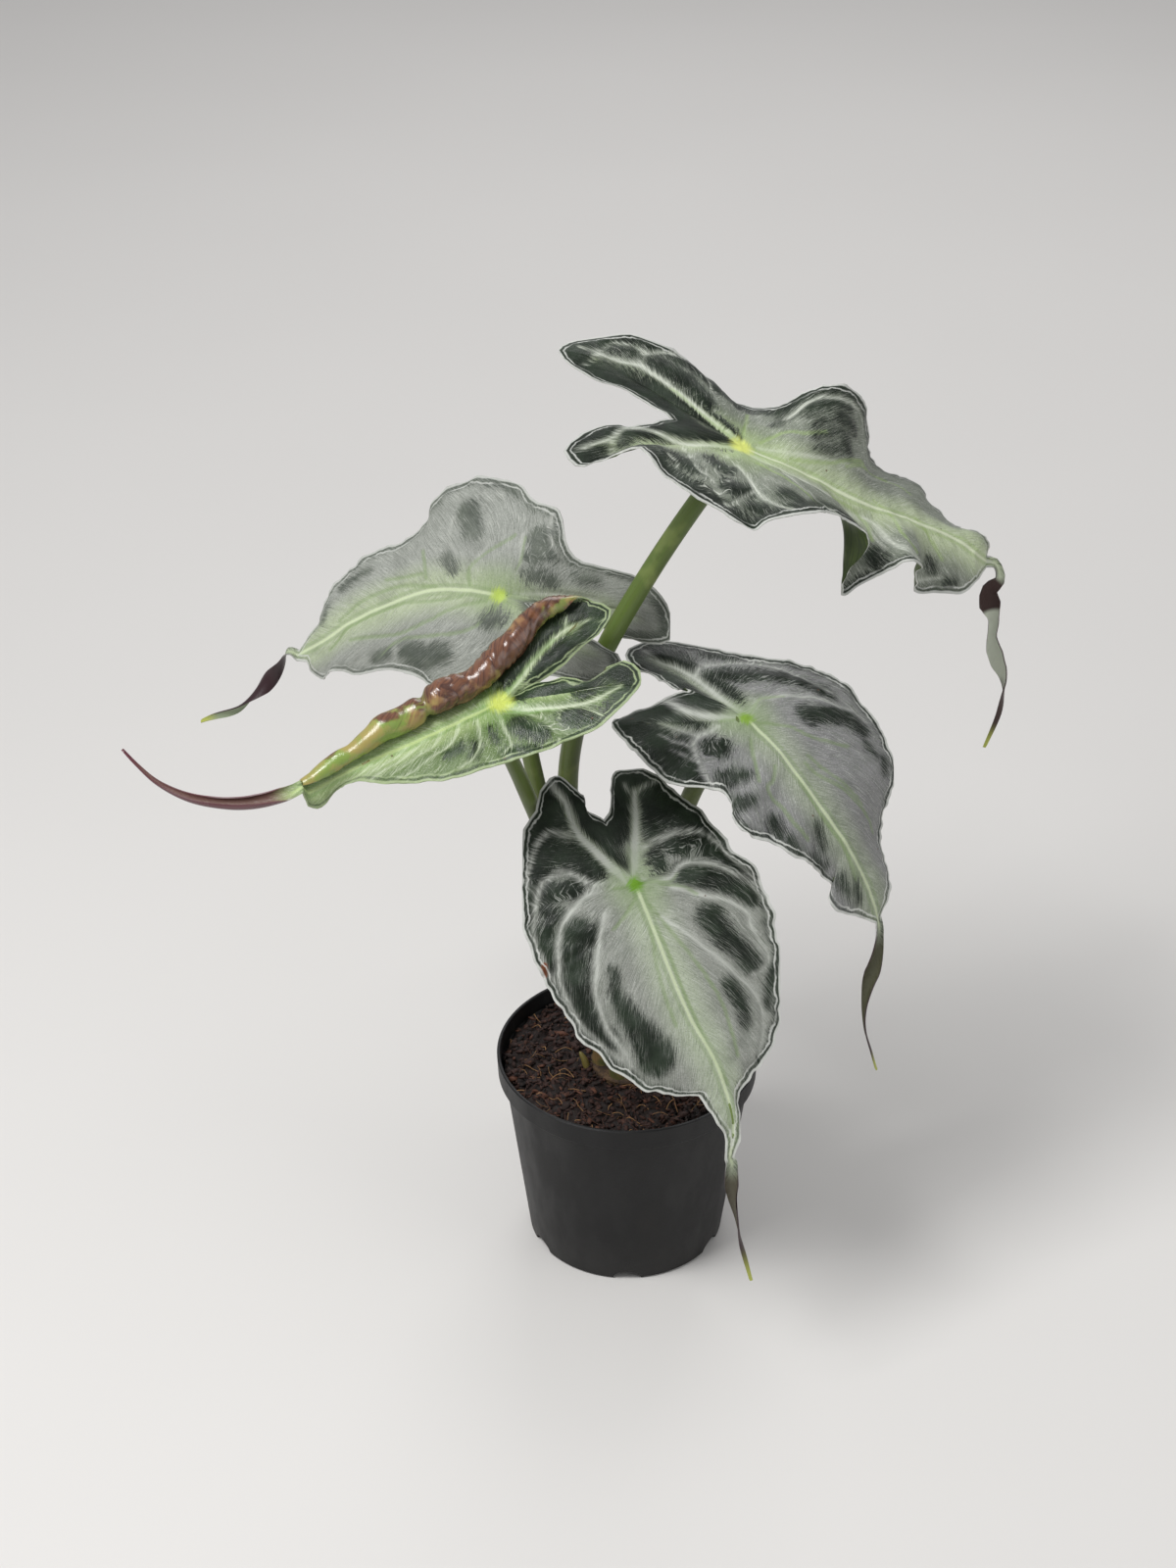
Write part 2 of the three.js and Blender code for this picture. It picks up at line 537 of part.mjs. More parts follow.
// The five leaves. Blade outlines are [along, across, lift] off the heart of the blade.
const LEAVES = {
  upper: {
    heart: [45, 20, 398],
    azimuth: 12,
    droop: 30,
    roll: 24,
    midrib: [
      [15, -2, 2],
      [32, -2, 2],
      [60, -1, 0],
      [92, 6, -4],
      [119, 11, -8],
      [138, 10, -12],
    ],
    left: {
      rib: [-60, 26, -11],
      lobe: 4,
      shoulder: 10,
      edge: [
        [-32, 2, -4],
        [-48, 12, -9],
        [-62, 17, -14],
        [-71, 23, -18],
        [-77, 30, -20],
        [-74, 36, -19],
        [-64, 41, -15],
        [-51, 45, -9],
        [-39, 43, -5],
        [-24, 43, -6],
        [-8, 40, -9],
        [9, 38, -13],
        [20, 36, -6],
        [24, 34, 6],
        [31, 38, 15],
        [45, 43, 17],
        [57, 45, 11],
        [69, 45, -3],
        [81, 44, -16],
        [95, 43, -17],
        [107, 43, -17],
        [118, 38, -20],
        [127, 28, -17],
        [129, 22, -9],
        [135, 21, -8],
        [140, 18, -10],
        [139, 13, -12],
      ],
    },
    right: {
      rib: [-60, -24, -6],
      lobe: 4,
      shoulder: 11,
      edge: [
        [-32, 2, -4],
        [-48, -9, -5],
        [-63, -14, -9],
        [-71, -21, -12],
        [-76, -29, -15],
        [-70, -35, -14],
        [-62, -32, -7],
        [-55, -30, 2],
        [-50, -34, 6],
        [-43, -39, 4],
        [-29, -45, 6],
        [-16, -50, 8],
        [-3, -55, 10],
        [4, -49, 13],
        [13, -44, 16],
        [23, -39, 18],
        [40, -32, 8],
        [54, -32, -10],
        [67, -33, -23],
        [72, -31, -12],
        [76, -29, 1],
        [84, -22, 5],
        [93, -16, -6],
        [106, -16, -19],
        [115, -13, -17],
        [127, -8, -18],
        [134, -1, -15],
        [138, 6, -12],
      ],
    },
    tail: {
      line: [
        [159, 80, 311],
        [163, 80, 310],
        [165, 77, 304],
        [160, 75, 299],
        [162, 76, 290],
        [164, 77, 283],
        [164, 77, 274],
        [167, 77, 263],
        [171, 77, 251],
        [170, 76, 236],
        [164, 74, 217],
      ],
      width: [7, 6, 8, 10, 5, 3, 7, 6, 4, 2.4, 2, 1.6, 1.2],
      twist: [0, 20, 60, 80, 110, 160, 190, 200, 220, 250, 270, 280, 290],
      curl: [0.5, 1.2, 1, 0.8],
    },
    stalk: {
      footAngle: 112,
      foot: 5,
      top: 4,
      line: [
        [-14, 13, 140],
        [-23, 17, 185],
        [-27, 18, 228],
        [-24, 16, 262],
        [-13, 13, 300],
        [7, 15, 340],
        [30, 19, 377],
      ],
    },
  },
  front: {
    heart: [2, -50, 227],
    azimuth: -57,
    droop: 48,
    roll: 20,
    midrib: [
      [24, 0, 2],
      [44, 0, 2],
      [62, 1, 1],
      [81, 4, 0],
      [96, 4, -2],
      [110, 2, -5],
      [121, -3, -9],
    ],
    left: {
      rib: [-39, 17, -6],
      lobe: 4,
      shoulder: 8,
      edge: [
        [-30, -3, -2],
        [-34, 2, -3],
        [-42, 6, -6],
        [-48, 12, -9],
        [-47, 20, -10],
        [-41, 26, -9],
        [-32, 31, -7],
        [-17, 39, -5],
        [-1, 44, -4],
        [11, 50, -4],
        [25, 52, -5],
        [39, 50, -5],
        [60, 44, -6],
        [72, 39, -6],
        [87, 28, -6],
        [94, 16, -6],
        [99, 9, -5],
        [106, 6, -4],
        [114, 4, -6],
        [122, -1, -9],
      ],
    },
    right: {
      rib: [-43, -19, -6],
      lobe: 3,
      shoulder: 8,
      edge: [
        [-30, -3, -2],
        [-36, -7, -3],
        [-47, -9, -6],
        [-56, -14, -9],
        [-53, -20, -9],
        [-45, -27, -7],
        [-38, -36, -5],
        [-24, -42, -4],
        [-7, -49, -4],
        [9, -52, -5],
        [26, -50, -6],
        [37, -48, -6],
        [49, -46, -6],
        [62, -41, -6],
        [78, -32, -6],
        [89, -16, -5],
        [93, -8, -4],
        [103, -5, -4],
        [112, -3, -6],
        [120, -5, -9],
      ],
    },
    tail: {
      line: [
        [42, -112, 129],
        [43, -112, 126],
        [43, -113, 121],
        [44, -114, 109],
        [46, -114, 97],
        [48, -114, 83],
        [50, -114, 74],
        [53, -115, 62],
      ],
      width: [4.5, 5.5, 6.5, 5, 3.5, 2.6, 2.4, 2.2, 1.6, 1.2],
      twist: [0, 20, 50, 70, 100, 140, 170, 180],
      curl: [0.6, 1.6, 1.4, 1, 0.8],
    },
    stalk: {
      footAngle: 326,
      foot: 4.8,
      top: 3.6,
      line: [
        [8, -9, 125],
        [5, -20, 160],
        [3, -36, 200],
      ],
    },
  },
  right: {
    heart: [49, -10, 285],
    azimuth: -20,
    droop: 22,
    roll: 8,
    midrib: [
      [19, -9, 1],
      [35, -15, -3],
      [52, -19, -10],
      [67, -20, -20],
      [81, -20, -34],
      [91, -21, -46],
    ],
    left: {
      rib: [-48, 20, -15],
      lobe: 4,
      shoulder: 9,
      edge: [
        [-27, 2, -4],
        [-34, 2, -8],
        [-44, 9, -14],
        [-52, 13, -19],
        [-60, 21, -22],
        [-57, 29, -20],
        [-46, 34, -14],
        [-31, 36, -8],
        [-15, 37, -3],
        [2, 42, 1],
        [17, 45, 3],
        [30, 44, 4],
        [42, 42, 1],
        [53, 38, -3],
        [62, 33, -8],
        [68, 25, -13],
        [70, 17, -20],
        [72, 11, -27],
        [76, 5, -31],
        [84, -3, -34],
        [89, -10, -38],
        [92, -18, -46],
      ],
    },
    right: {
      rib: [-36, -16, -17],
      lobe: 5,
      shoulder: 9,
      edge: [
        [-27, 2, -4],
        [-32, 0, -8],
        [-36, -3, -14],
        [-41, -6, -19],
        [-46, -11, -23],
        [-49, -19, -24],
        [-39, -26, -22],
        [-24, -36, -18],
        [-11, -42, -14],
        [-2, -38, -12],
        [6, -35, -11],
        [13, -38, -12],
        [18, -46, -12],
        [26, -48, -13],
        [35, -42, -16],
        [44, -40, -18],
        [52, -37, -22],
        [60, -32, -28],
        [67, -31, -33],
        [68, -36, -36],
        [74, -35, -39],
        [81, -30, -42],
        [90, -24, -46],
      ],
    },
    tail: {
      line: [
        [106, -46, 206],
        [107, -46, 200],
        [107, -46, 192],
        [106, -46, 182],
        [104, -45, 170],
        [103, -45, 157],
        [104, -45, 145],
        [107, -45, 134],
        [110, -45, 123],
      ],
      width: [6, 4.5, 5.5, 7, 5.5, 3.6, 2.4, 2.2, 1.8, 1.2],
      twist: [0, 40, 80, 110, 140, 160, 180],
      curl: [0.6, 1.4, 1.6, 1.2, 0.9, 0.8],
    },
    stalk: {
      footAngle: 38,
      foot: 4.9,
      top: 3.8,
      line: [
        [13, 7, 145],
        [19, 7, 190],
        [25, 5, 230],
        [38, -3, 265],
      ],
    },
  },
  back: {
    heart: [-56, 25, 325],
    azimuth: 176,
    droop: 24,
    roll: -40,
    midrib: [
      [12, -6, 2],
      [29, -12, 2],
      [49, -14, -1],
      [70, -14, -5],
      [88, -12, -10],
      [101, -12, -14],
    ],
    left: {
      rib: [-27, 34, -9],
      lobe: 4,
      shoulder: 8,
      edge: [
        [-12, 8, -3],
        [-20, 16, -5],
        [-29, 26, -9],
        [-36, 33, -13],
        [-42, 41, -15],
        [-38, 47, -15],
        [-26, 46, -13],
        [-10, 38, -11],
        [7, 37, -9],
        [24, 35, -7],
        [38, 29, -6],
        [48, 19, -5],
        [60, 12, -7],
        [74, 8, -10],
        [85, 3, -10],
        [93, 3, -15],
        [97, -2, -14],
        [97, -6, -12],
        [100, -9, -14],
      ],
    },
    right: {
      rib: [-47, 16, -22],
      lobe: 5,
      shoulder: 12,
      edge: [
        [-12, 8, -3],
        [-22, 12, -11],
        [-31, 16, -21],
        [-38, 21, -29],
        [-49, 28, -35],
        [-60, 31, -35],
        [-64, 25, -31],
        [-64, 16, -24],
        [-57, 6, -15],
        [-45, 0, -8],
        [-36, -6, -3],
        [-35, -14, 2],
        [-36, -25, 4],
        [-25, -36, 1],
        [-20, -46, 0],
        [-8, -54, 0],
        [6, -57, 0],
        [18, -53, 1],
        [25, -44, 0],
        [36, -41, -2],
        [52, -42, -5],
        [68, -39, -8],
        [80, -33, -10],
        [89, -22, -12],
        [101, -15, -14],
      ],
    },
    tail: {
      line: [
        [-146, 49, 281],
        [-150, 49, 283],
        [-154, 50, 275],
        [-159, 51, 268],
        [-167, 51, 260],
        [-176, 52, 251],
        [-187, 52, 247],
        [-192, 52, 245],
      ],
      width: [6, 5, 6.5, 8, 6, 5, 3, 1.2],
      twist: [0, 30, 90, 150, 200, 250, 290, 320],
      curl: [0.6, 1.4, 1.6, 1.2, 0.9, 0.8],
    },
    stalk: {
      footAngle: 180,
      foot: 4.6,
      top: 3.4,
      line: [
        [-15, 0, 130],
        [-24, 3, 165],
        [-33, 7, 205],
        [-42, 13, 245],
        [-49, 19, 285],
        [-54, 23, 309],
      ],
    },
  },
  rolled: {
    heart: [-54, -40, 311],
    azimuth: 200,
    droop: 17,
    roll: -14,
    midrib: [
      [18, 0, 0],
      [36, 0, 0],
      [53, -1, 0],
      [71, -1, 0],
      [84, 0, 0],
      [92, 1, 2],
    ],
    left: {
      rib: [-43, 19, 2],
      lobe: 6,
      shoulder: 10,
      edge: [
        [-8, -2, -2],
        [-16, -1, 0],
        [-27, 4, 2],
        [-37, 12, 3],
        [-50, 11, 4],
        [-56, 17, 4],
        [-55, 23, 2],
        [-46, 28, 0],
        [-37, 30, -2],
        [-29, 32, -3],
        [-15, 31, -3],
        [-2, 30, -3],
        [12, 27, -3],
        [29, 24, -3],
        [44, 18, -3],
        [57, 11, -3],
        [68, 3, -3],
        [78, 1, -6],
        [86, 4, -7],
        [92, 3, 0],
      ],
    },
    right: {
      rib: [-44, -17, 5],
      lobe: 6,
      shoulder: 10,
      scroll: {
        strip: [0, 16, 34, 42, 42, 40, 34, 26, 17, 10, 5],
        radius: [2.5, 4, 6, 6.6, 6, 6.8, 5.8, 5, 3.8, 3, 2.4],
      },
      edge: [
        [-8, -2, -2],
        [-23, -4, -2],
        [-34, -6, 0],
        [-44, -8, 2],
        [-53, -10, 4],
        [-59, -16, 6],
        [-54, -22, 8],
        [-43, -25, 8],
        [-34, -26, 8],
        [-27, -24, 7],
        [-14, -18, 4],
        [2, -12, 2],
        [18, -10, 2],
        [36, -9, 2],
        [52, -8, 2],
        [67, -6, 2],
        [80, -4, 2],
        [92, -1, 2],
      ],
    },
    tail: {
      line: [
        [-134, -73, 291],
        [-141, -73, 286],
        [-153, -73, 282],
        [-165, -71, 280],
        [-181, -69, 282],
        [-194, -66, 288],
        [-202, -63, 295],
        [-208, -60, 301],
      ],
      width: [6, 10, 11, 10, 8, 6, 4, 2.6, 1.4],
      twist: [0, 10, 20, 30, 30],
      curl: [1, 3.4, 4.2, 4.2, 3.6, 3, 2, 1.2],
    },
    stalk: {
      footAngle: 252,
      foot: 4.4,
      top: 3.1,
      line: [
        [-10, -12, 140],
        [-23, -14, 180],
        [-36, -18, 228],
        [-46, -25, 262],
        [-53, -35, 290],
      ],
    },
  },
};

const plant = new THREE.Group();
plant.name = "potted_venom_alocasia";

function add(name, geometry, material) {
  const mesh = new THREE.Mesh(geometry, material);
  mesh.name = name;
  plant.add(mesh);
}

add("pot", makePot(), surface(COLOURS.pot, 0.75));
add("soil", makeSoil(), surface(COLOURS.soil, 0.95));
add("corm", makeCorm(Object.values(LEAVES).map(footOf)), surface(COLOURS.corm, 0.85));
for (const [name, leaf] of Object.entries(LEAVES)) {
  const blade = makeBlade(leaf);
  add(`blade_${name}`, blade, surface(COLOURS.blade, 0.5));
  add(`stalk_${name}`, makeStalk(leaf, blade), surface(COLOURS.stalk, 0.6));
}

export default plant;
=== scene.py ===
"""A potted venom alocasia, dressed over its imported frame.

Sizes are millimetres in the row frame until a mesh is finished, and metres from then on.
"""

import logging
import math
import random
from collections.abc import Sequence
from dataclasses import dataclass
from enum import Enum

import bmesh
import bpy
import numpy as np
from mathutils import Matrix, Vector, noise

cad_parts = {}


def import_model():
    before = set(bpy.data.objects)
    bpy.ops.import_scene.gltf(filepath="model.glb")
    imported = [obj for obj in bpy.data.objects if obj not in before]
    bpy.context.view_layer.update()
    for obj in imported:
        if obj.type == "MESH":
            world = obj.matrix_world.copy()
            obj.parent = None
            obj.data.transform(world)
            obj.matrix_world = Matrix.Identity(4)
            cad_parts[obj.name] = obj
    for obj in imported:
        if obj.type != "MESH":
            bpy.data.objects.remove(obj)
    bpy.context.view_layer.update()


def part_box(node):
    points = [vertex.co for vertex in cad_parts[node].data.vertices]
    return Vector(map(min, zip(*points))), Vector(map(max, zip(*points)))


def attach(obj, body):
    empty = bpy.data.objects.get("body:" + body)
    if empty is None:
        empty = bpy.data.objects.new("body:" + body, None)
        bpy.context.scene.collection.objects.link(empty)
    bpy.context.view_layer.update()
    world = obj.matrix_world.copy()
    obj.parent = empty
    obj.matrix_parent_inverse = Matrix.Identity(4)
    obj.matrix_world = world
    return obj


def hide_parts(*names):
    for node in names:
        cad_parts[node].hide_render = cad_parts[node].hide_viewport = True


LOG = logging.getLogger("alocasia")
MM = 0.001
UP = Vector((0.0, 0.0, 1.0))
NOISE_SEED = 11

Point = tuple[float, float, float]
Pixel = tuple[float, float]
Colour = tuple[float, float, float, float]
Socket = bpy.types.NodeSocket
Value = float | Socket
Array = np.ndarray
Mesh = bmesh.types.BMesh
Vert = bmesh.types.BMVert
Layer = bmesh.types.BMLayerItem
Material = bpy.types.Material
Piece = bpy.types.Object


class Side(Enum):
    """Which half of a blade, seen from its heart towards its tip."""

    LEFT = 1
    RIGHT = -1


LEFT, RIGHT = Side


def paint(red: int, green: int, blue: int) -> Colour:
    """A colour as the eye reads it, 0 to 255 for each part, made linear for the shaders."""
    linear = [((c / 255 + 0.055) / 1.055) ** 2.4 if c > 10 else c / 3294.6 for c in (red, green, blue)]
    return (*linear, 1.0)


def smooth(value: float) -> float:
    """An even ease from 0 to 1."""
    held = min(max(value, 0.0), 1.0)
    return held * held * (3 - 2 * held)


def sample(values: Sequence[float], share: float) -> float:
    """The value a share of the way along evenly spaced values."""
    return float(np.interp(share * (len(values) - 1), range(len(values)), values))


def mix(start: float, end: float, share: float) -> float:
    """The value a share of the way from start to end."""
    return start + (end - start) * share


def square_to(direction: Array, tangent: Array) -> Array:
    """The unit direction nearest to a direction that is square to a tangent."""
    square = direction - tangent * (direction @ tangent)
    return square / np.linalg.norm(square)


def ring(side: Array, other: Array, angles: Array) -> Array:
    """Points round a circle of radius 1 that two directions span."""
    return np.outer(np.cos(angles), side) + np.outer(np.sin(angles), other)


def ripple(along: float, across: Array, seed: float) -> Array:
    """Soft noise from -1 to 1 for each place across."""
    return np.array([noise.noise(Vector((along, place, seed))) for place in across])


class SmoothLine:
    """A smooth line through unevenly spaced points.

    Args:
        points: The points that it passes through.
    """

    STEPS = 16

    def __init__(self, points: Sequence[Sequence[float]]) -> None:
        knots = np.array(points, float)
        self.last = len(knots) - 1
        self.padded = np.vstack([2 * knots[0] - knots[1], knots, 2 * knots[-1] - knots[-2]])
        self.places = np.linspace(0, self.last, self.last * self.STEPS + 1)
        steps = np.diff(self.at(self.places), axis=0)
        self.lengths = np.concatenate([[0.0], np.cumsum(np.linalg.norm(steps, axis=1))])

    def at(self, place: float | Array) -> Array:
        """Points at places counted in knots.

        Args:
            place: One place, or several.

        Returns:
            One point for each place.
        """
        held = np.clip(np.atleast_1d(place), 0, self.last)
        first = np.minimum(held.astype(int), self.last - 1)
        part = (held - first)[:, None]
        before, start, end, after = (self.padded[first + n] for n in range(4))
        gaps = [
            np.maximum(np.linalg.norm(b - a, axis=1, keepdims=True), 1e-8) ** 0.5
            for a, b in ((before, start), (start, end), (end, after))
        ]
        leave = (start - before) / gaps[0] - (end - before) / (gaps[0] + gaps[1]) + (end - start) / gaps[1]
        arrive = (end - start) / gaps[1] - (after - start) / (gaps[1] + gaps[2]) + (after - end) / gaps[2]
        leave, arrive = leave * gaps[1], arrive * gaps[1]
        square = 3 * (end - start) - 2 * leave - arrive
        cube = 2 * (start - end) + leave + arrive
        return start + leave * part + square * part**2 + cube * part**3

    def place(self, share: float, start: int = 0, end: int | None = None) -> float:
        """The place a share of the length between two knots."""
        limits = [self.lengths[knot * self.STEPS] for knot in (start, self.last if end is None else end)]
        return float(np.interp(mix(limits[0], limits[1], share), self.lengths, self.places))

    def point(self, share: float, start: int = 0, end: int | None = None) -> Array:
        """The point a share of the length between two knots."""
        return self.at(self.place(share, start, end))[0]

    def tangent(self, share: float) -> Array:
        """The line's direction.

        Args:
            share: How far along it, as a share of its length.

        Returns:
            The unit direction.
        """
        place = self.place(share)
        ends = self.at(np.array([place - 1e-3, place + 1e-3]))
        run = ends[1] - ends[0]
        return run / np.linalg.norm(run)


class Recipe:
    """One material's nodes, written as a chain of short steps.

    Args:
        name: The material's name.
    """

    SWAY = 0.5
    PLAIN = (1.0, 1.0, 1.0)

    def __init__(self, name: str) -> None:
        self.material = bpy.data.materials.new(name)
        self.material.use_nodes = True
        self.tree = self.material.node_tree
        self.shader = self.tree.nodes["Principled BSDF"]

    def feed(self, entry: Socket, value: object) -> None:
        """Links a socket to an input, or sets a value on it.

        Args:
            entry: The input.
            value: A value, or another node's socket.
        """
        if isinstance(value, Socket):
            self.tree.links.new(value, entry)
        else:
            entry.default_value = value

    def step(
        self, kind: str, inputs: dict[int | str, object], out: int | str = 0, **settings: object
    ) -> Socket:
        """Adds a node.

        Args:
            kind: The node's type, without its prefix.
            inputs: A value or another node's socket for each input.
            out: The output that is wanted.
            **settings: The node's own properties.

        Returns:
            That output.
        """
        node = self.tree.nodes.new(f"ShaderNode{kind}")
        for key, value in settings.items():
            setattr(node, key, value)
        for key, value in inputs.items():
            self.feed(node.inputs[key], value)
        return node.outputs[out]

    def attribute(self, name: str) -> Socket:
        """A number carried by the mesh."""
        return self.step("Attribute", {}, "Fac", attribute_name=name)

    def run(self, across: float, along: float, turn: float = 0.0) -> Socket:
        """The piece's own map of centimetres, turned and then squeezed across and along."""
        place = self.step("UVMap", {}, uv_map="run")
        inputs = {0: place, 2: (0.0, 0.0, turn), 3: (1 / across, 1 / along, 1.0)}
        return self.step("Mapping", inputs, vector_type="TEXTURE")

    def swayed(self, across: float, along: float, sway: Socket, turn: float = 0.0) -> Socket:
        """The turned and squeezed map, pushed aside by soft noise so that its streaks bend."""
        push = self.step("VectorMath", {0: sway, 1: (0.0, along * self.SWAY, 0.0)}, operation="MULTIPLY")
        return self.step("VectorMath", {0: self.run(across, along, turn), 1: push})

    def place(self, stretch: Point = PLAIN) -> Socket:
        """Object coordinates in metres, stretched."""
        return self.step("Mapping", {0: self.step("TexCoord", {}, "Object"), 3: stretch})

    def part(self, axis: int) -> Socket:
        """One of the Object coordinates."""
        return self.step("SeparateXYZ", {0: self.place()}, axis)

    def noise(self, scale: float, detail: float, rough: float = 0.5, place: Socket | None = None) -> Socket:
        """Soft noise from 0 to 1, on Object coordinates where no place is given."""
        place = self.place() if place is None else place
        inputs = {"Vector": place, "Scale": scale, "Detail": detail, "Roughness": rough}
        return self.step("TexNoise", inputs, "Fac")

    def cells(self, scale: float) -> Socket:
        """Distance inside scattered cells."""
        return self.step("TexVoronoi", {"Vector": self.place(), "Scale": scale})

    def sum(self, first: Value, second: Value, factor: Value = 1.0) -> Socket:
        """first + second * factor."""
        return self.step("Math", {0: second, 1: factor, 2: first}, operation="MULTIPLY_ADD")

    def times(self, first: Value, *others: Value) -> Socket:
        """Multiplies.

        Args:
            first: The first factor.
            *others: The others.

        Returns:
            Their product.
        """
        for other in others:
            first = self.step("Math", {0: first, 1: other}, operation="MULTIPLY")
        return first

    def either(self, first: Value, second: Value) -> Socket:
        """The larger of two."""
        return self.step("Math", {0: first, 1: second}, operation="MAXIMUM")

    def apart(self, value: Value, centre: float) -> Socket:
        """How far a value lies from a centre."""
        return self.step("Math", {0: self.sum(value, -centre)}, operation="ABSOLUTE")

    def fade(self, value: Value, start: float, end: float, low: float = 0.0, high: float = 1.0) -> Socket:
        """Eases from low to high as the value goes from start to end."""
        inputs = {0: value, 1: start, 2: end, 3: low, 4: high}
        return self.step("MapRange", inputs, interpolation_type="SMOOTHSTEP")

    def blend(self, factor: Value, first: Colour | Socket, second: Colour | Socket) -> Socket:
        """Mixes two colours."""
        return self.step("Mix", {0: factor, 6: first, 7: second}, 2, data_type="RGBA")

    def glaze(self, colour: Colour | Socket, *coats: tuple) -> Socket:
        """Lays coats of colour over a colour.

        Args:
            colour: The colour underneath.
            *coats: For each coat the value that it follows, where that starts and ends to show, and
                the coat's colour, then its strength where it isn't full.

        Returns:
            The colour with its coats.
        """
        for value, start, end, coat, *strength in coats:
            colour = self.blend(self.fade(value, start, end, 0.0, *strength), colour, coat)
        return colour

    def finish(
        self, colour: Socket, rough: Value, height: Socket, depth: float, specular: float = 0.5
    ) -> Material:
        """Wires colour, roughness and relief to the shader.

        Args:
            colour: The base colour.
            rough: The roughness.
            height: The relief, from 0 to 1.
            depth: The relief's depth in millimetres.
            specular: The shine of its gloss.

        Returns:
            The material.
        """
        bump = self.step("Bump", {"Height": height, "Strength": 1.0, "Distance": depth * MM})
        entries = {"Base Color": colour, "Roughness": rough, "Normal": bump, "Specular IOR Level": specular}
        for name, value in entries.items():
            self.feed(self.shader.inputs[name], value)
        return self.material


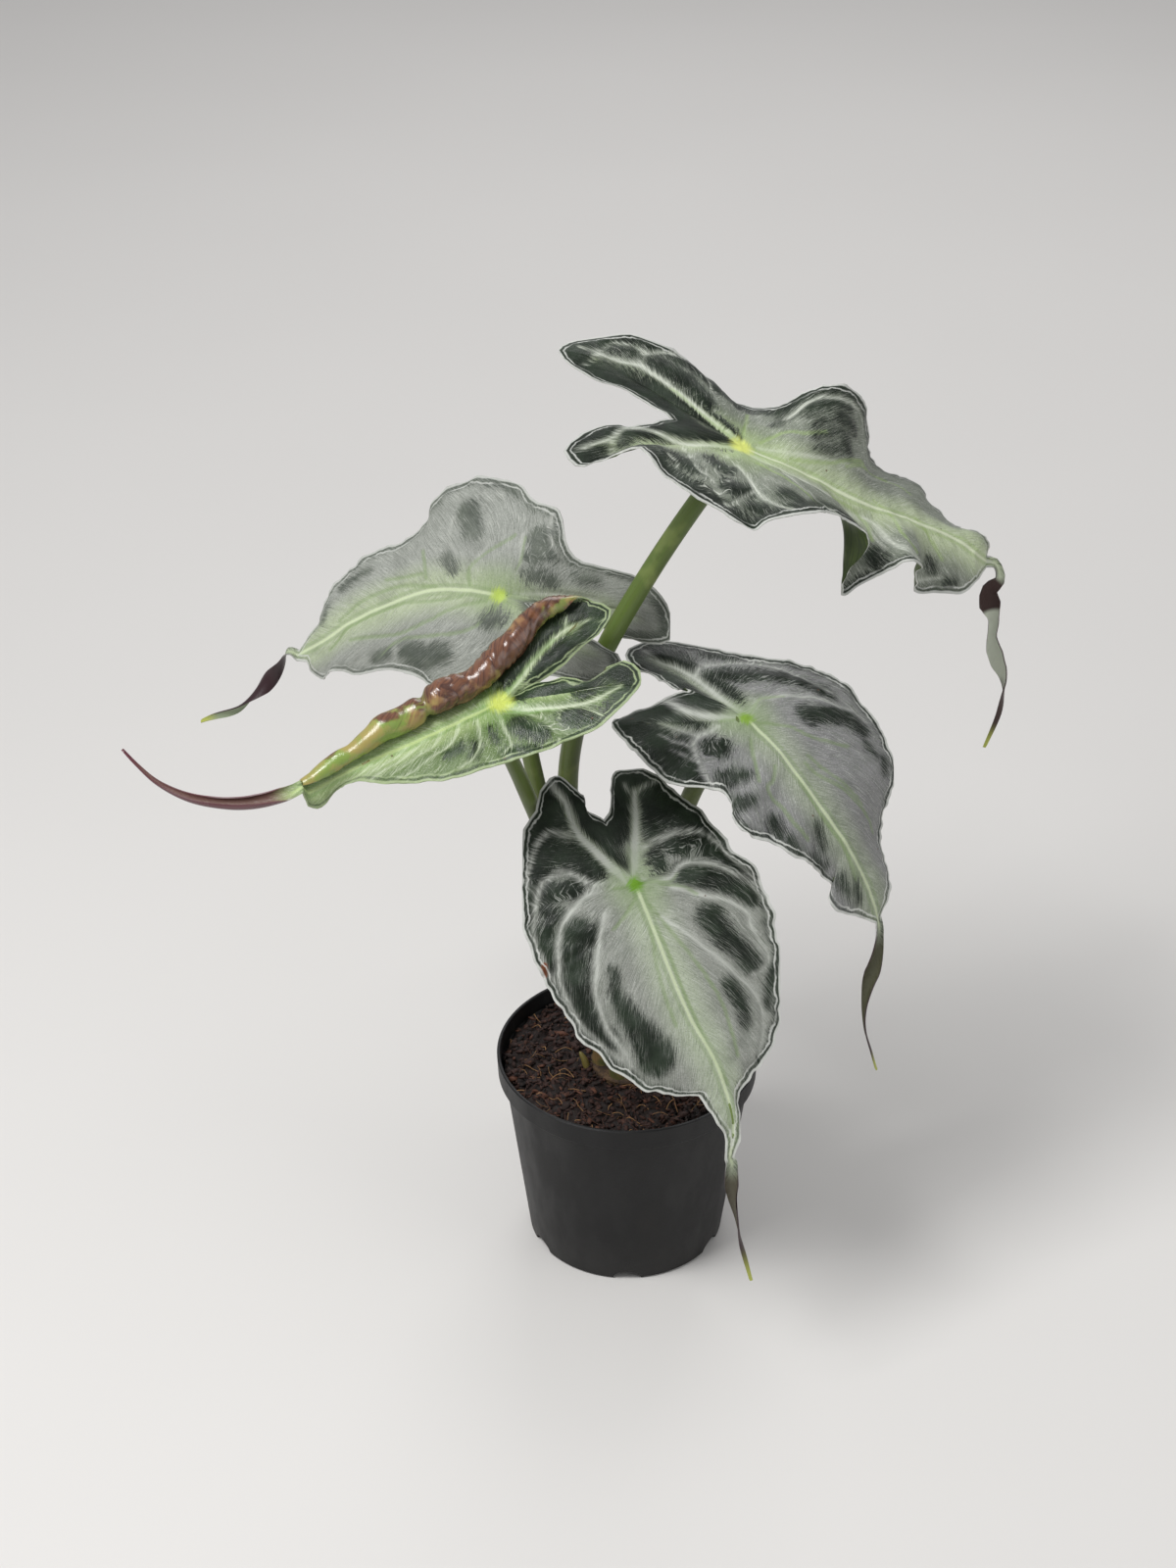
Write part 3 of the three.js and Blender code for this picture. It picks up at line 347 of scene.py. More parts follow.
@dataclass(frozen=True)
class LeafFinish:
    """How a blade's upper face, underside and rim look.

    Args:
        name: What the finish is called.
        silver: Frost away from the midrib.
        mid: Frost beside the midrib.
        bright: Palest hairs and veins.
        outline: Lines along the margin.
        shade: Thin frost.
        dark: Panels between veins.
        lit_dark: Painted light on the dark panels, in random patches; also the gap by the margin line.
        vein: Fine green veins.
        rib: The midrib's ridge.
        heart: The spot where the veins meet.
        heart_reach: How far, in millimetres, that spot spreads.
        green_reach: How far green spreads through the frost round it.
        under: The underside.
        under_deep: The underside's streaks.
        under_vein: The veins from below.
        roll: The rolled-up part.
        roll_streak_and_fold_shade: Its darker streaks, and the painted shade in its folds.
        roll_highlight: A painted golden highlight on the tops of its pillows.
        roll_fresh: Its greener side.
        fresh_from: Where along X, in metres, it turns green.
        tip_upper: The drip tip's upper side.
        tip_under: The drip tip's underside.
        tip_end: The drip tip's last bit.
        tip_band: Where the drip tip's dark band lies and half its length, as shares of the tip.
        tip_turns: Where the tip darkens, and where its last bit starts, as shares.
        feather: How far, in millimetres, streaks reach over a panel's edge.
        blur: How softly the pale veins run out, in millimetres.
        mid_reach: How far, in millimetres, the colour beside the midrib spreads.
        gloss: How much smoother than a grown blade it is.
        dot: The scattered brown specks.
        rust: The rusty spot on the margin.
    """

    name: str
    silver: Colour = paint(164, 165, 162)
    mid: Colour = paint(164, 174, 150)
    bright: Colour = paint(198, 201, 193)
    outline: Colour = paint(206, 208, 202)
    shade: Colour = paint(88, 96, 84)
    dark: Colour = paint(16, 25, 15)
    lit_dark: Colour = paint(40, 51, 38)
    vein: Colour = paint(122, 144, 94)
    rib: Colour = paint(202, 214, 176)
    heart: Colour = paint(104, 150, 34)
    heart_reach: float = 3.4
    green_reach: float = 26.0
    under: Colour = paint(74, 90, 42)
    under_deep: Colour = paint(48, 62, 30)
    under_vein: Colour = paint(108, 126, 68)
    roll: Colour = paint(116, 76, 54)
    roll_streak_and_fold_shade: Colour = paint(58, 32, 27)
    roll_highlight: Colour = paint(176, 140, 88)
    roll_fresh: Colour = paint(126, 150, 66)
    fresh_from: float = -0.082
    tip_upper: Colour = paint(138, 150, 122)
    tip_under: Colour = paint(46, 26, 30)
    tip_end: Colour = paint(166, 172, 82)
    tip_band: tuple[float, float] = (0.0, 0.0)
    tip_turns: tuple[float, float] = (1.2, 0.84)
    feather: float = 15.0
    blur: float = 1.5
    mid_reach: float = 17.0
    gloss: float = 0.0
    dot: Colour = paint(92, 62, 46)
    rust: Colour = paint(118, 62, 32)

    def upper(self) -> Material:
        """The frosted face with its panels, veins, heart spot, margin lines and drip tip."""
        recipe = Recipe(f"{self.name}_upper")
        fade, times, either, plus = recipe.fade, recipe.times, recipe.either, recipe.sum
        sway = recipe.noise(60.0, 2.0)
        streak = recipe.noise(1.0, 6.0, 0.62, recipe.swayed(1.1, 12.0, sway))
        hair = recipe.noise(1.0, 3.0, 0.6, recipe.swayed(1.5, 27.0, sway))
        crossing = recipe.noise(1.0, 3.0, 0.6, recipe.swayed(1.7, 25.0, sway, 0.62))
        speck = recipe.noise(1500.0, 3.0, 0.65)
        cloud = recipe.noise(85.0, 3.0)
        names = ("heart_mm", "mid_mm", "panel_mm", "pale_mm", "vein_mm", "rust_mm", "tip")
        heart_mm, mid_mm, panel_mm, pale_mm, vein_mm, rust_mm, tip = map(recipe.attribute, names)
        lean = plus(streak, -0.5)
        tufts = plus(plus(panel_mm, lean, self.feather), plus(hair, crossing), 10.0)
        panel = fade(tufts, 8.2, 10.8)
        pale = fade(plus(plus(pale_mm, lean, 5.0), plus(hair, -0.5), 3.0), -self.blur, self.blur)
        strands = either(fade(hair, 0.55, 0.68, 0.0, 0.75), fade(crossing, 0.57, 0.7, 0.0, 0.7))
        strands = times(strands, fade(panel_mm, 7.5, 0.5))
        frost = either(plus(1.0, panel, -1.0), either(pale, strands))
        silver = recipe.blend(fade(mid_mm, 2.0, self.mid_reach), self.mid, self.silver)
        thin = times(fade(streak, 0.53, 0.34), fade(mid_mm, 6.0, 24.0, 0.35, 0.85))
        silver = recipe.blend(times(thin, 0.8), silver, self.shade)
        silver = recipe.glaze(
            silver,
            (hair, 0.48, 0.34, self.shade, 0.4),
            (crossing, 0.46, 0.32, self.shade, 0.3),
            (hair, 0.53, 0.68, self.bright, 0.7),
            (speck, 0.48, 0.3, self.shade, 0.4),
            (speck, 0.56, 0.72, self.bright, 0.5),
            (cloud, 0.5, 0.74, self.shade, 0.26),
        )
        silver = recipe.blend(times(pale, fade(pale_mm, 0.1, 1.6, 0.3, 0.75)), silver, self.bright)
        # Painted light: the dark panels are lightened in random patches and specks, as where light catches
        # them.
        dark = recipe.glaze(self.dark, (cloud, 0.35, 0.7, self.lit_dark), (speck, 0.5, 0.72, self.lit_dark, 0.35))
        colour = recipe.blend(frost, dark, silver)
        vein = fade(plus(vein_mm, lean, 2.0), 1.5, 0.1)
        green = fade(plus(heart_mm, cloud, 12.0), self.green_reach, 8.0, 0.0, 0.5)
        beside = times(fade(recipe.apart(mid_mm, 1.9), 1.3, 0.3), fade(tip, 0.05, 0.0))
        for factor in (times(vein, frost, 0.5), times(green, frost), times(beside, frost, 0.35)):
            colour = recipe.blend(factor, colour, self.vein)
        ridge = times(fade(plus(mid_mm, lean, 1.2), 1.1, 0.3), fade(tip, 0.12, 0.0))
        colour = recipe.blend(times(ridge, 0.7), colour, self.rib)
        colour = recipe.glaze(
            colour,
            (plus(heart_mm, lean, 9.0), self.heart_reach * 1.5, self.heart_reach * 0.4, self.heart),
            (recipe.cells(75.0), 0.045, 0.03, self.dot, 0.75),
            (rust_mm, -0.6, 0.6, self.rust),
        )
        darkens, ends = self.tip_turns
        band, reach = self.tip_band
        colour = recipe.glaze(
            self.margin(recipe, colour, tip),
            (tip, 0.03, 0.2, self.tip_upper, 0.9),
            (recipe.apart(tip, band), reach, reach - 0.03, self.tip_under),
            (tip, darkens, darkens + 0.12, self.tip_under),
            (tip, ends, ends + 0.13, self.tip_end),
        )
        rough = fade(frost, 0.0, 1.0, 0.4 - self.gloss * 0.12, 0.52 - self.gloss * 0.16)
        height = plus(times(speck, 0.5), plus(streak, hair, 0.4), 0.9)
        return recipe.finish(colour, rough, height, 0.35, 0.25 + self.gloss * 0.2)

    def margin(self, recipe: Recipe, colour: Socket, tip: Socket) -> Socket:
        """The pale double line that follows the blade's edge and fades into the drip tip.

        Args:
            recipe: The material.
            colour: The face's colour so far.
            tip: How far down the drip tip a place is.

        Returns:
            The colour with its margin.
        """
        fade, apart = recipe.fade, recipe.apart
        edge_mm = recipe.attribute("edge_mm")
        wander = recipe.noise(150.0, 4.0, 0.6)
        broken = fade(recipe.noise(110.0, 2.0), 0.36, 0.56, 0.25, 1.0)
        place = recipe.sum(edge_mm, recipe.sum(wander, -0.5), 4.0)
        gap = fade(apart(place, 1.7), 0.7, 0.2, 0.0, 0.35)
        line = recipe.times(fade(apart(place, 2.8), 0.6, 0.1, 0.0, 0.8), broken)
        rim = fade(recipe.sum(edge_mm, wander, 1.0), 1.9, 1.3, 0.0, 0.85)
        blade = fade(tip, 0.04, 0.0)
        for factor, coat in ((gap, self.lit_dark), (line, self.outline), (rim, self.outline)):
            colour = recipe.blend(recipe.times(factor, blade), colour, coat)
        return colour

    def lower(self) -> Material:
        """The plain underside with its raised veins and the fresh side of a rolled-up part."""
        recipe = Recipe(f"{self.name}_lower")
        streak = recipe.noise(1.0, 5.0, 0.6, recipe.run(1.2, 7.0))
        cloud = recipe.noise(90.0, 4.0)
        speck = recipe.noise(1500.0, 2.0)
        tip = recipe.attribute("tip")
        pale = recipe.fade(recipe.sum(recipe.attribute("pale_mm"), streak, 1.0), -0.6, 0.9, 0.0, 0.6)
        ridge = recipe.fade(recipe.attribute("mid_mm"), 2.6, 1.4)
        colour = recipe.glaze(
            self.under,
            (streak, 0.4, 0.66, self.under_deep),
            (cloud, 0.45, 0.7, self.under_deep, 0.5),
            (recipe.attribute("scroll"), 0.0, 0.04, self.rolled(recipe, streak, cloud)),
        )
        colour = recipe.glaze(
            recipe.blend(recipe.either(pale, ridge), colour, self.under_vein),
            (tip, 0.0, 0.12, self.tip_under),
            (tip, self.tip_turns[1], 0.98, self.tip_end),
        )
        rough = recipe.fade(cloud, 0.3, 0.7, 0.36 - self.gloss * 0.16, 0.46 - self.gloss * 0.16)
        height = recipe.sum(recipe.times(speck, 0.4), streak, 0.5)
        return recipe.finish(colour, rough, height, 0.18, 0.4 + self.gloss * 0.4)

    def rolled(self, recipe: Recipe, streak: Socket, cloud: Socket) -> Socket:
        """The rolled-up part: bronze, painted shade in its folds, painted golden highlight on pillows, green
        further out.

        Args:
            recipe: The material.
            streak: Streaks along the blade.
            cloud: Soft noise.

        Returns:
            Its colour.
        """
        fade, plus = recipe.fade, recipe.sum
        fold = recipe.attribute("fold")
        colour = recipe.glaze(self.roll, (streak, 0.4, 0.62, self.roll_streak_and_fold_shade, 0.7))
        # Painted highlight: golden on the tops of the pillows, in random patches.
        highlight = recipe.times(fade(fold, 0.5, 1.0), fade(cloud, 0.5, 0.66, 0.0, 0.6))
        scroll = plus(recipe.attribute("scroll"), plus(cloud, -0.5), 1.5)
        out = plus(recipe.part(0), plus(streak, -0.5), 0.04)
        far = recipe.times(fade(out, self.fresh_from, self.fresh_from - 0.014), fade(scroll, 0.25, 0.42))
        fresh = recipe.either(far, fade(recipe.apart(scroll, 0.9), 0.24, 0.08, 0.0, 0.6))
        colour = recipe.blend(fresh, colour, self.roll_fresh)
        colour = recipe.blend(highlight, colour, self.roll_highlight)
        # Painted shade: darker down in the folds between the pillows.
        return recipe.glaze(colour, (plus(fold, streak, 0.5), 0.72, 0.34, self.roll_streak_and_fold_shade, 0.75))

    def rim(self) -> Material:
        """The thin cut edge, pale along the blade and dark along the drip tip."""
        recipe = Recipe(f"{self.name}_rim")
        tone = recipe.noise(420.0, 3.0)
        tip = recipe.attribute("tip")
        colour = recipe.glaze(
            self.outline,
            (tone, 0.3, 0.7, self.silver, 0.5),
            (tip, 0.0, 0.15, self.tip_under),
            (tip, 0.86, 0.98, self.tip_end),
        )
        return recipe.finish(colour, 0.42, tone, 0.05)


class Viewpoint:
    """The photograph's camera, matched to the pot, and where things show in the photograph."""

    PLACE = (-18.04, -1110.32, 966.28)
    LOOKING_DOWN = 33.0
    LENS = 70.0
    SENSOR = 36.0
    WIDTH = 1200
    HEIGHT = 1600

    def shows(self, points: Array) -> tuple[Array, Array]:
        """Where points of the plant show.

        Args:
            points: The points, in the row frame.

        Returns:
            The photograph's pixel for each point, and how far ahead of the camera it lies.
        """
        tilt = math.radians(self.LOOKING_DOWN)
        away = points - np.array(self.PLACE)
        ahead = away @ np.array([0.0, math.cos(tilt), -math.sin(tilt)])
        above = away @ np.array([0.0, math.sin(tilt), math.cos(tilt)])
        scale = self.LENS / self.SENSOR * self.HEIGHT / ahead
        pixels = np.stack([self.WIDTH / 2 + away[:, 0] * scale, self.HEIGHT / 2 - above * scale], axis=-1)
        return pixels, ahead


@dataclass(frozen=True)
class Stroke:
    """A marking drawn on a blade as a line of changing width.

    Args:
        width: Half its width at its start, in millimetres.
        taper: The share of that width left at its end.
        path: The photograph's pixels that it passes through.
    """

    width: float
    taper: float
    path: tuple[Pixel, ...]


def strokes(*rows: tuple) -> tuple[Stroke, ...]:
    """A stroke from each row of width, taper and the pixels that it passes through."""
    return tuple(Stroke(width, taper, tuple(path)) for width, taper, *path in rows)


def threads(*paths: tuple[Pixel, ...]) -> tuple[Stroke, ...]:
    """A stroke without width along each path."""
    return tuple(Stroke(0, 1, path) for path in paths)


def spokes(hub: Pixel, rim: Sequence[Pixel], ends: tuple[float, float] = (0.6, 0.86)) -> tuple[Stroke, ...]:
    """A thin stroke from a hub towards each pixel of a rim, between two shares of the way."""
    paths = [[(mix(hub[0], x, share), mix(hub[1], y, share)) for share in ends] for x, y in rim]
    return strokes(*((1, 1, *path) for path in paths))


@dataclass(frozen=True)
class Half:
    """One half of a blade, in its leaf's frame.

    Args:
        rib: The end of the lobe's rib.
        lobe: The knot of the edge at the lobe's tip.
        shoulder: The knot where the main part starts.
        edge: The margin from the sinus to the drip tip.
        shade: The dark zone's width inside the margin, from sinus to lobe, shoulder and drip tip.
        strip: The width rolled up beyond the edge, from lobe to tip.
        scroll: The scroll's radius, from lobe to tip.
    """

    rib: Point
    lobe: int
    shoulder: int
    edge: tuple[Point, ...]
    shade: tuple[float, ...] = (0.0,)
    strip: tuple[float, ...] = ()
    scroll: tuple[float, ...] = ()


@dataclass(frozen=True)
class Tip:
    """The drip tip: a ribbon of changing width, twist in degrees and curl in radians along a line."""

    line: tuple[Point, ...]
    width: tuple[float, ...]
    twist: tuple[float, ...]
    curl: tuple[float, ...]


@dataclass(frozen=True)
class Stem:
    """The stalk that carries a blade: its angle round the corm in degrees, its radii and its line."""

    foot_angle: float
    foot: float
    top: float
    line: tuple[Point, ...]


@dataclass(frozen=True)
class Leaf:
    """Everything that makes one leaf its own, in a frame that starts at its heart.

    Args:
        name: Its name in the CAD nodes.
        heart: Where stalk, ribs and midrib meet.
        azimuth: The way that the midrib points, in degrees.
        droop: How far the midrib dips.
        roll: How far the blade leans over about its midrib.
        midrib, left, right, tip, stem: Its forms.
        veins, lines, panels, rust: The marks drawn on it.
        waver: How far, in millimetres, the margin wanders in and out.
        boldness: How much broader the dark panels are drawn than noted.
    """

    name: str
    heart: Point
    azimuth: float
    droop: float
    roll: float
    midrib: tuple[Point, ...]
    left: Half
    right: Half
    tip: Tip
    stem: Stem
    veins: tuple[Stroke, ...] = ()
    lines: tuple[Stroke, ...] = ()
    panels: tuple[Stroke, ...] = ()
    rust: tuple[Stroke, ...] = ()
    waver: float = 0.4
    boldness: float = 1.1

    def half(self, side: Side) -> Half:
        """The half on that side."""
        return self.left if side is LEFT else self.right


UPPER_HEART = (757, 455)
HUMP_RIM = ((812, 420), (825, 404), (840, 397), (858, 396), (872, 403), (880, 418), (884, 438), (885, 460))
FRONT_VEINS = strokes(
    (2.6, 0.5, (649, 904), (627, 888), (608, 869), (589, 850), (582, 834), (576, 819), (567, 807),
        (562, 801)),
    (1.3, 0.4, (586, 852), (575, 852), (561, 851), (552, 856), (545, 866), (540, 885), (538, 899),
        (541, 907), (547, 908)),
    (1.5, 0.35, (630, 902), (610, 904), (597, 898), (583, 893), (572, 892), (561, 896), (552, 904),
        (547, 918), (546, 935), (544, 951), (547, 966), (554, 980), (558, 992), (565, 1004)),
    (1.6, 0.4, (610, 907), (594, 919), (582, 932), (573, 946), (569, 962), (569, 981), (572, 1003),
        (580, 1025), (593, 1047), (608, 1062), (624, 1074), (641, 1085)),
    (1.6, 0.6, (616, 932), (613, 948), (610, 967), (608, 989), (608, 1011), (612, 1031), (619, 1050),
        (631, 1066), (639, 1076), (642, 1088)),
    (2.4, 0.65, (649, 902), (648, 880), (648, 852), (649, 833), (648, 817), (647, 808)),
    (1, 0.6, (647, 811), (641, 808), (637, 802)),
    (1, 0.5, (647, 811), (653, 806), (658, 802), (669, 799)),
    (1.4, 0.35, (654, 869), (663, 862), (674, 856), (685, 851), (696, 848), (709, 848), (720, 852),
        (734, 862), (748, 876), (761, 888), (775, 904), (783, 919)),
    (1.5, 0.35, (654, 899), (674, 898), (685, 894), (693, 885), (702, 880), (715, 879), (731, 882),
        (748, 889), (761, 898), (772, 908), (781, 924), (785, 940), (785, 956)),
    (1.8, 0.4, (685, 904), (701, 909), (717, 913), (737, 917), (753, 924), (764, 932), (768, 946),
        (775, 959), (782, 970), (785, 980), (778, 989), (767, 995)),
    (1.5, 0.4, (674, 935), (696, 948), (717, 965), (737, 981), (753, 995), (767, 1009), (775, 1025),
        (779, 1041), (778, 1061), (774, 1074)),
)
FRONT_LINES = threads(
    ((649, 904), (630, 904), (613, 904), (602, 908)),
    ((652, 899), (668, 899), (685, 898), (691, 892)),
    ((663, 924), (685, 951), (706, 976), (723, 998), (737, 1025), (748, 1055), (753, 1077)),
    ((669, 946), (685, 978), (698, 1011), (712, 1047), (728, 1080), (742, 1105)),
    ((674, 902), (696, 904), (712, 911)),
    ((648, 915), (638, 935), (626, 948)),
    ((657, 918), (663, 946), (668, 978), (679, 1017), (690, 1047)),
)
FRONT_PANELS = strokes(
    (8, 1, (565, 811), (554, 844), (542, 880)),
    (6, 1, (545, 891), (561, 873), (583, 873), (605, 889)),
    (10, 0.35, (583, 822), (610, 860), (635, 885)),
    (10, 0.7, (668, 822), (690, 825), (717, 844)),
    (5, 0.8, (663, 839), (668, 855)),
    (4, 0.9, (669, 873), (673, 885)),
    (4, 0.9, (685, 862), (712, 860), (739, 876), (761, 895)),
    (4.5, 0.9, (698, 892), (723, 895), (748, 904), (764, 915)),
    (5.2, 0.7, (723, 935), (737, 951), (753, 967), (767, 984)),
    (3.2, 0.6, (745, 1006), (756, 1025), (761, 1044)),
    (2.4, 0.8, (782, 904), (790, 935), (794, 967), (787, 1000), (783, 1025)),
    (4.5, 1, (561, 913), (575, 907), (586, 907)),
    (4, 1, (558, 929), (565, 935)),
    (4, 0.8, (557, 948), (556, 967), (562, 989), (569, 1009)),
    (5.5, 1, (587, 951), (600, 954)),
    (6, 0.7, (587, 973), (587, 998), (594, 1020), (605, 1044), (621, 1063)),
    (7, 0.15, (669, 1080), (657, 1058), (642, 1037), (631, 1017), (626, 989)),
    (1.6, 1, (536, 924), (538, 956), (550, 981)),
)
FRONT_RUST = strokes(
    (1.3, 1, (555, 985), (556, 996)),
)
RIGHT_VEINS = strokes(
    (2.1, 0.5, (761, 732), (742, 718), (724, 703), (708, 691), (689, 682), (669, 674), (657, 664)),
    (2, 0.5, (753, 734), (734, 733), (714, 730), (696, 724), (677, 716), (659, 710), (644, 718),
        (639, 728)),
    (1.4, 0.4, (710, 690), (714, 682), (722, 679), (734, 678), (751, 677), (767, 677), (783, 679),
        (800, 683), (816, 690), (834, 699), (855, 711), (869, 722), (883, 736)),
    (1.6, 0.5, (765, 728), (769, 720), (775, 713), (787, 710), (804, 709), (820, 710), (836, 712),
        (853, 718), (869, 724), (877, 730)),
    (1.6, 0.6, (734, 740), (722, 746), (712, 751), (708, 760), (710, 771), (716, 783), (722, 795),
        (728, 801)),
    (0.6, 0.4, (708, 750), (691, 744), (673, 738)),
    (0.6, 0.4, (707, 762), (689, 758), (673, 751)),
    (0.6, 0.4, (714, 781), (702, 773), (687, 767)),
    (0.8, 0.6, (713, 674), (718, 680)),
)
RIGHT_LINES = threads(
    ((812, 791), (828, 816), (842, 838), (859, 860), (867, 879), (873, 897)),
    ((820, 779), (836, 791), (855, 801), (869, 813), (883, 830), (891, 848)),
    ((766, 754), (769, 773), (773, 787), (775, 797)),
    ((791, 781), (789, 795), (783, 803), (789, 816), (798, 824), (810, 840), (824, 856)),
    ((773, 737), (791, 739), (808, 742), (826, 751), (847, 757), (865, 762)),
    ((734, 736), (747, 736), (753, 736)),
    ((764, 728), (769, 720), (775, 713), (787, 711), (800, 710)),
    ((824, 771), (844, 787), (865, 803), (879, 820)),
)
RIGHT_PANELS = strokes(
    (3.5, 1, (667, 667), (685, 671), (703, 680)),
    (2.2, 0.8, (718, 667), (734, 669), (751, 673)),
    (5, 0.6, (657, 686), (677, 693), (698, 703), (716, 714), (729, 723)),
    (3.2, 0.7, (726, 692), (738, 701), (751, 712)),
    (3.6, 0.6, (734, 689), (753, 688), (775, 689), (796, 691), (816, 696), (834, 703), (847, 710)),
    (3.8, 0.7, (826, 729), (840, 730), (857, 730), (869, 736), (879, 745)),
    (3, 0.8, (649, 733), (661, 729), (681, 730), (702, 736), (713, 740)),
    (6, 0.7, (651, 742), (665, 754), (681, 771), (693, 787), (705, 799)),
    (2.2, 1, (697, 754), (700, 767), (706, 781)),
    (3.4, 1, (726, 762), (735, 763)),
    (3, 0.8, (737, 797), (749, 793), (759, 792)),
    (2.4, 0.8, (755, 821), (766, 816)),
    (2.4, 0.7, (789, 842), (796, 856)),
    (1.6, 0.8, (805, 859), (817, 873)),
    (1.4, 0.8, (884, 761), (894, 771)),
    (1.4, 0.8, (901, 775), (903, 787)),
    (1.6, 0.8, (832, 879), (840, 886)),
    (1.3, 0.8, (859, 897), (865, 911)),
    (1.2, 0.8, (873, 903), (875, 916)),
    (1.5, 0.8, (834, 846), (839, 864)),
)
UPPER_VEINS = strokes(
    (1.7, 0.5, (762, 462), (800, 480), (845, 503), (890, 532), (930, 563), (962, 590)),
    (1.1, 0.5, (800, 482), (832, 508), (858, 530)),
    (1.1, 0.5, (850, 506), (880, 532), (905, 560)),
    (1.1, 0.5, (890, 532), (915, 556), (938, 584)),
    (1.1, 0.5, (772, 456), (820, 463), (870, 474), (915, 492)),
    (1.9, 0.45, (754, 453), (734, 437), (712, 417), (689, 397), (669, 383), (653, 373), (630, 366),
        (611, 361), (591, 355)),
    (0.9, 0.7, (606, 362), (603, 369), (594, 375)),
    (0.7, 0.7, (606, 361), (616, 357), (623, 351), (641, 352)),
    (1.2, 0.8, (657, 373), (654, 364), (653, 356)),
    (1.1, 0.6, (657, 360), (681, 360), (706, 372), (723, 389), (730, 411), (728, 420)),
    (1.6, 0.5, (754, 458), (728, 455), (695, 452), (672, 442), (650, 437), (633, 439), (626, 446),
        (602, 455), (582, 463)),
    (0.9, 0.8, (626, 448), (625, 456), (629, 462)),
    (1.2, 0.7, (695, 452), (706, 465), (714, 479), (726, 487), (734, 504), (742, 517)),
    (1.5, 0.6, (740, 462), (754, 476), (768, 493), (779, 507), (793, 515), (807, 519)),
    (0.8, 0.8, (744, 517), (756, 510), (770, 501)),
    (0.8, 0.8, (681, 462), (689, 470), (692, 482)),
    (1.1, 0.8, (804, 427), (813, 418), (829, 408), (852, 405), (869, 411), (880, 428), (883, 451),
        (884, 470)),
)
UPPER_LINES = threads(
    ((756, 451), (760, 437), (763, 423)),
    ((776, 452), (799, 442), (821, 441), (843, 441)),
    ((807, 470), (829, 472), (852, 472), (883, 473)),
    ((773, 473), (801, 487), (824, 504), (843, 524)),
    ((841, 498), (863, 515), (883, 532), (891, 552)),
    ((891, 510), (908, 526), (922, 546), (936, 563)),
    ((863, 476), (888, 482), (911, 493), (928, 504)),
    ((933, 529), (950, 552), (961, 571)),
    ((754, 453), (734, 438), (717, 423), (700, 409), (683, 395)),
)
UPPER_PANELS = strokes(
    (5.2, 0.8, (740, 442), (717, 427), (695, 411), (672, 399), (644, 388), (616, 377)),
    (4.4, 0.8, (734, 449), (712, 441), (686, 434)),
    (4, 1, (581, 364), (592, 366)),
    (2.2, 0.8, (619, 356), (641, 358), (649, 361)),
    (4.4, 0.8, (672, 372), (692, 383), (709, 396), (721, 411)),
    (1.3, 0.8, (588, 455), (611, 444)),
    (3.2, 0.8, (595, 465), (613, 459)),
    (2.3, 0.8, (634, 453), (644, 444), (661, 443), (675, 446)),
    (2.2, 1, (668, 456), (678, 462)),
    (3.4, 0.9, (690, 468), (706, 477)),
    (2.6, 0.9, (726, 469), (741, 479)),
    (3.8, 0.9, (747, 498), (762, 501)),
    (3, 0.8, (766, 518), (784, 524)),
    (3, 0.8, (803, 505), (822, 515)),
    (2, 0.8, (824, 416), (846, 411), (866, 418)),
    (2.6, 0.8, (857, 424), (871, 437)),
    (2.4, 0.8, (862, 451), (866, 459)),
    (2.4, 0.8, (891, 566), (901, 574)),
    (1.5, 0.8, (947, 574), (953, 584)),
    (1.2, 0.8, (964, 595), (974, 594)),
    (1.2, 0.8, (671, 468), (686, 482)),
    (1.6, 0.8, (807, 404), (821, 396), (841, 393)),
) + spokes(UPPER_HEART, HUMP_RIM)
BACK_VEINS = strokes(
    (1.2, 0.6, (526, 607), (553, 606), (584, 609), (611, 613)),
    (0.9, 0.7, (462, 528), (458, 548), (465, 565)),
    (0.9, 0.7, (499, 555), (479, 575)),
    (1, 0.7, (533, 545), (529, 575), (524, 596)),
    (0.8, 0.7, (563, 528), (560, 548), (570, 565), (577, 572)),
)
BACK_LINES = threads(
    ((496, 613), (469, 619), (438, 633), (411, 646), (384, 650), (357, 653)),
    ((472, 609), (442, 613), (411, 616), (384, 626), (357, 640), (337, 663)),
    ((506, 619), (489, 636), (462, 646), (431, 650), (408, 653), (387, 670)),
    ((445, 599), (404, 599), (371, 613), (347, 633)),
    ((435, 589), (433, 572), (431, 562)),
    ((479, 596), (479, 579), (496, 565), (516, 552), (526, 545)),
    ((524, 596), (531, 572), (536, 548)),
    ((394, 592), (415, 589), (431, 586)),
)
BACK_PANELS = strokes(
    (4.2, 0.9, (479, 520), (482, 542)),
    (2.6, 0.9, (457, 570), (462, 579)),
    (4, 0.9, (551, 550), (572, 547)),
    (2.8, 0.9, (543, 569), (572, 565)),
    (2.6, 0.9, (540, 587), (563, 591)),
    (3, 0.9, (540, 618), (560, 620)),
    (5, 0.8, (418, 667), (431, 672), (450, 667)),
    (2, 0.8, (384, 672), (396, 668)),
    (3.5, 0.8, (497, 633), (511, 629)),
    (2.2, 0.8, (425, 689), (438, 700)),
    (1.2, 0.8, (492, 494), (509, 493), (529, 506)),
    (2.2, 0.8, (437, 516), (447, 511)),
    (1.5, 0.8, (349, 599), (377, 582)),
    (1.4, 0.8, (333, 619), (330, 633)),
    (2, 0.8, (590, 589), (607, 592)),
)
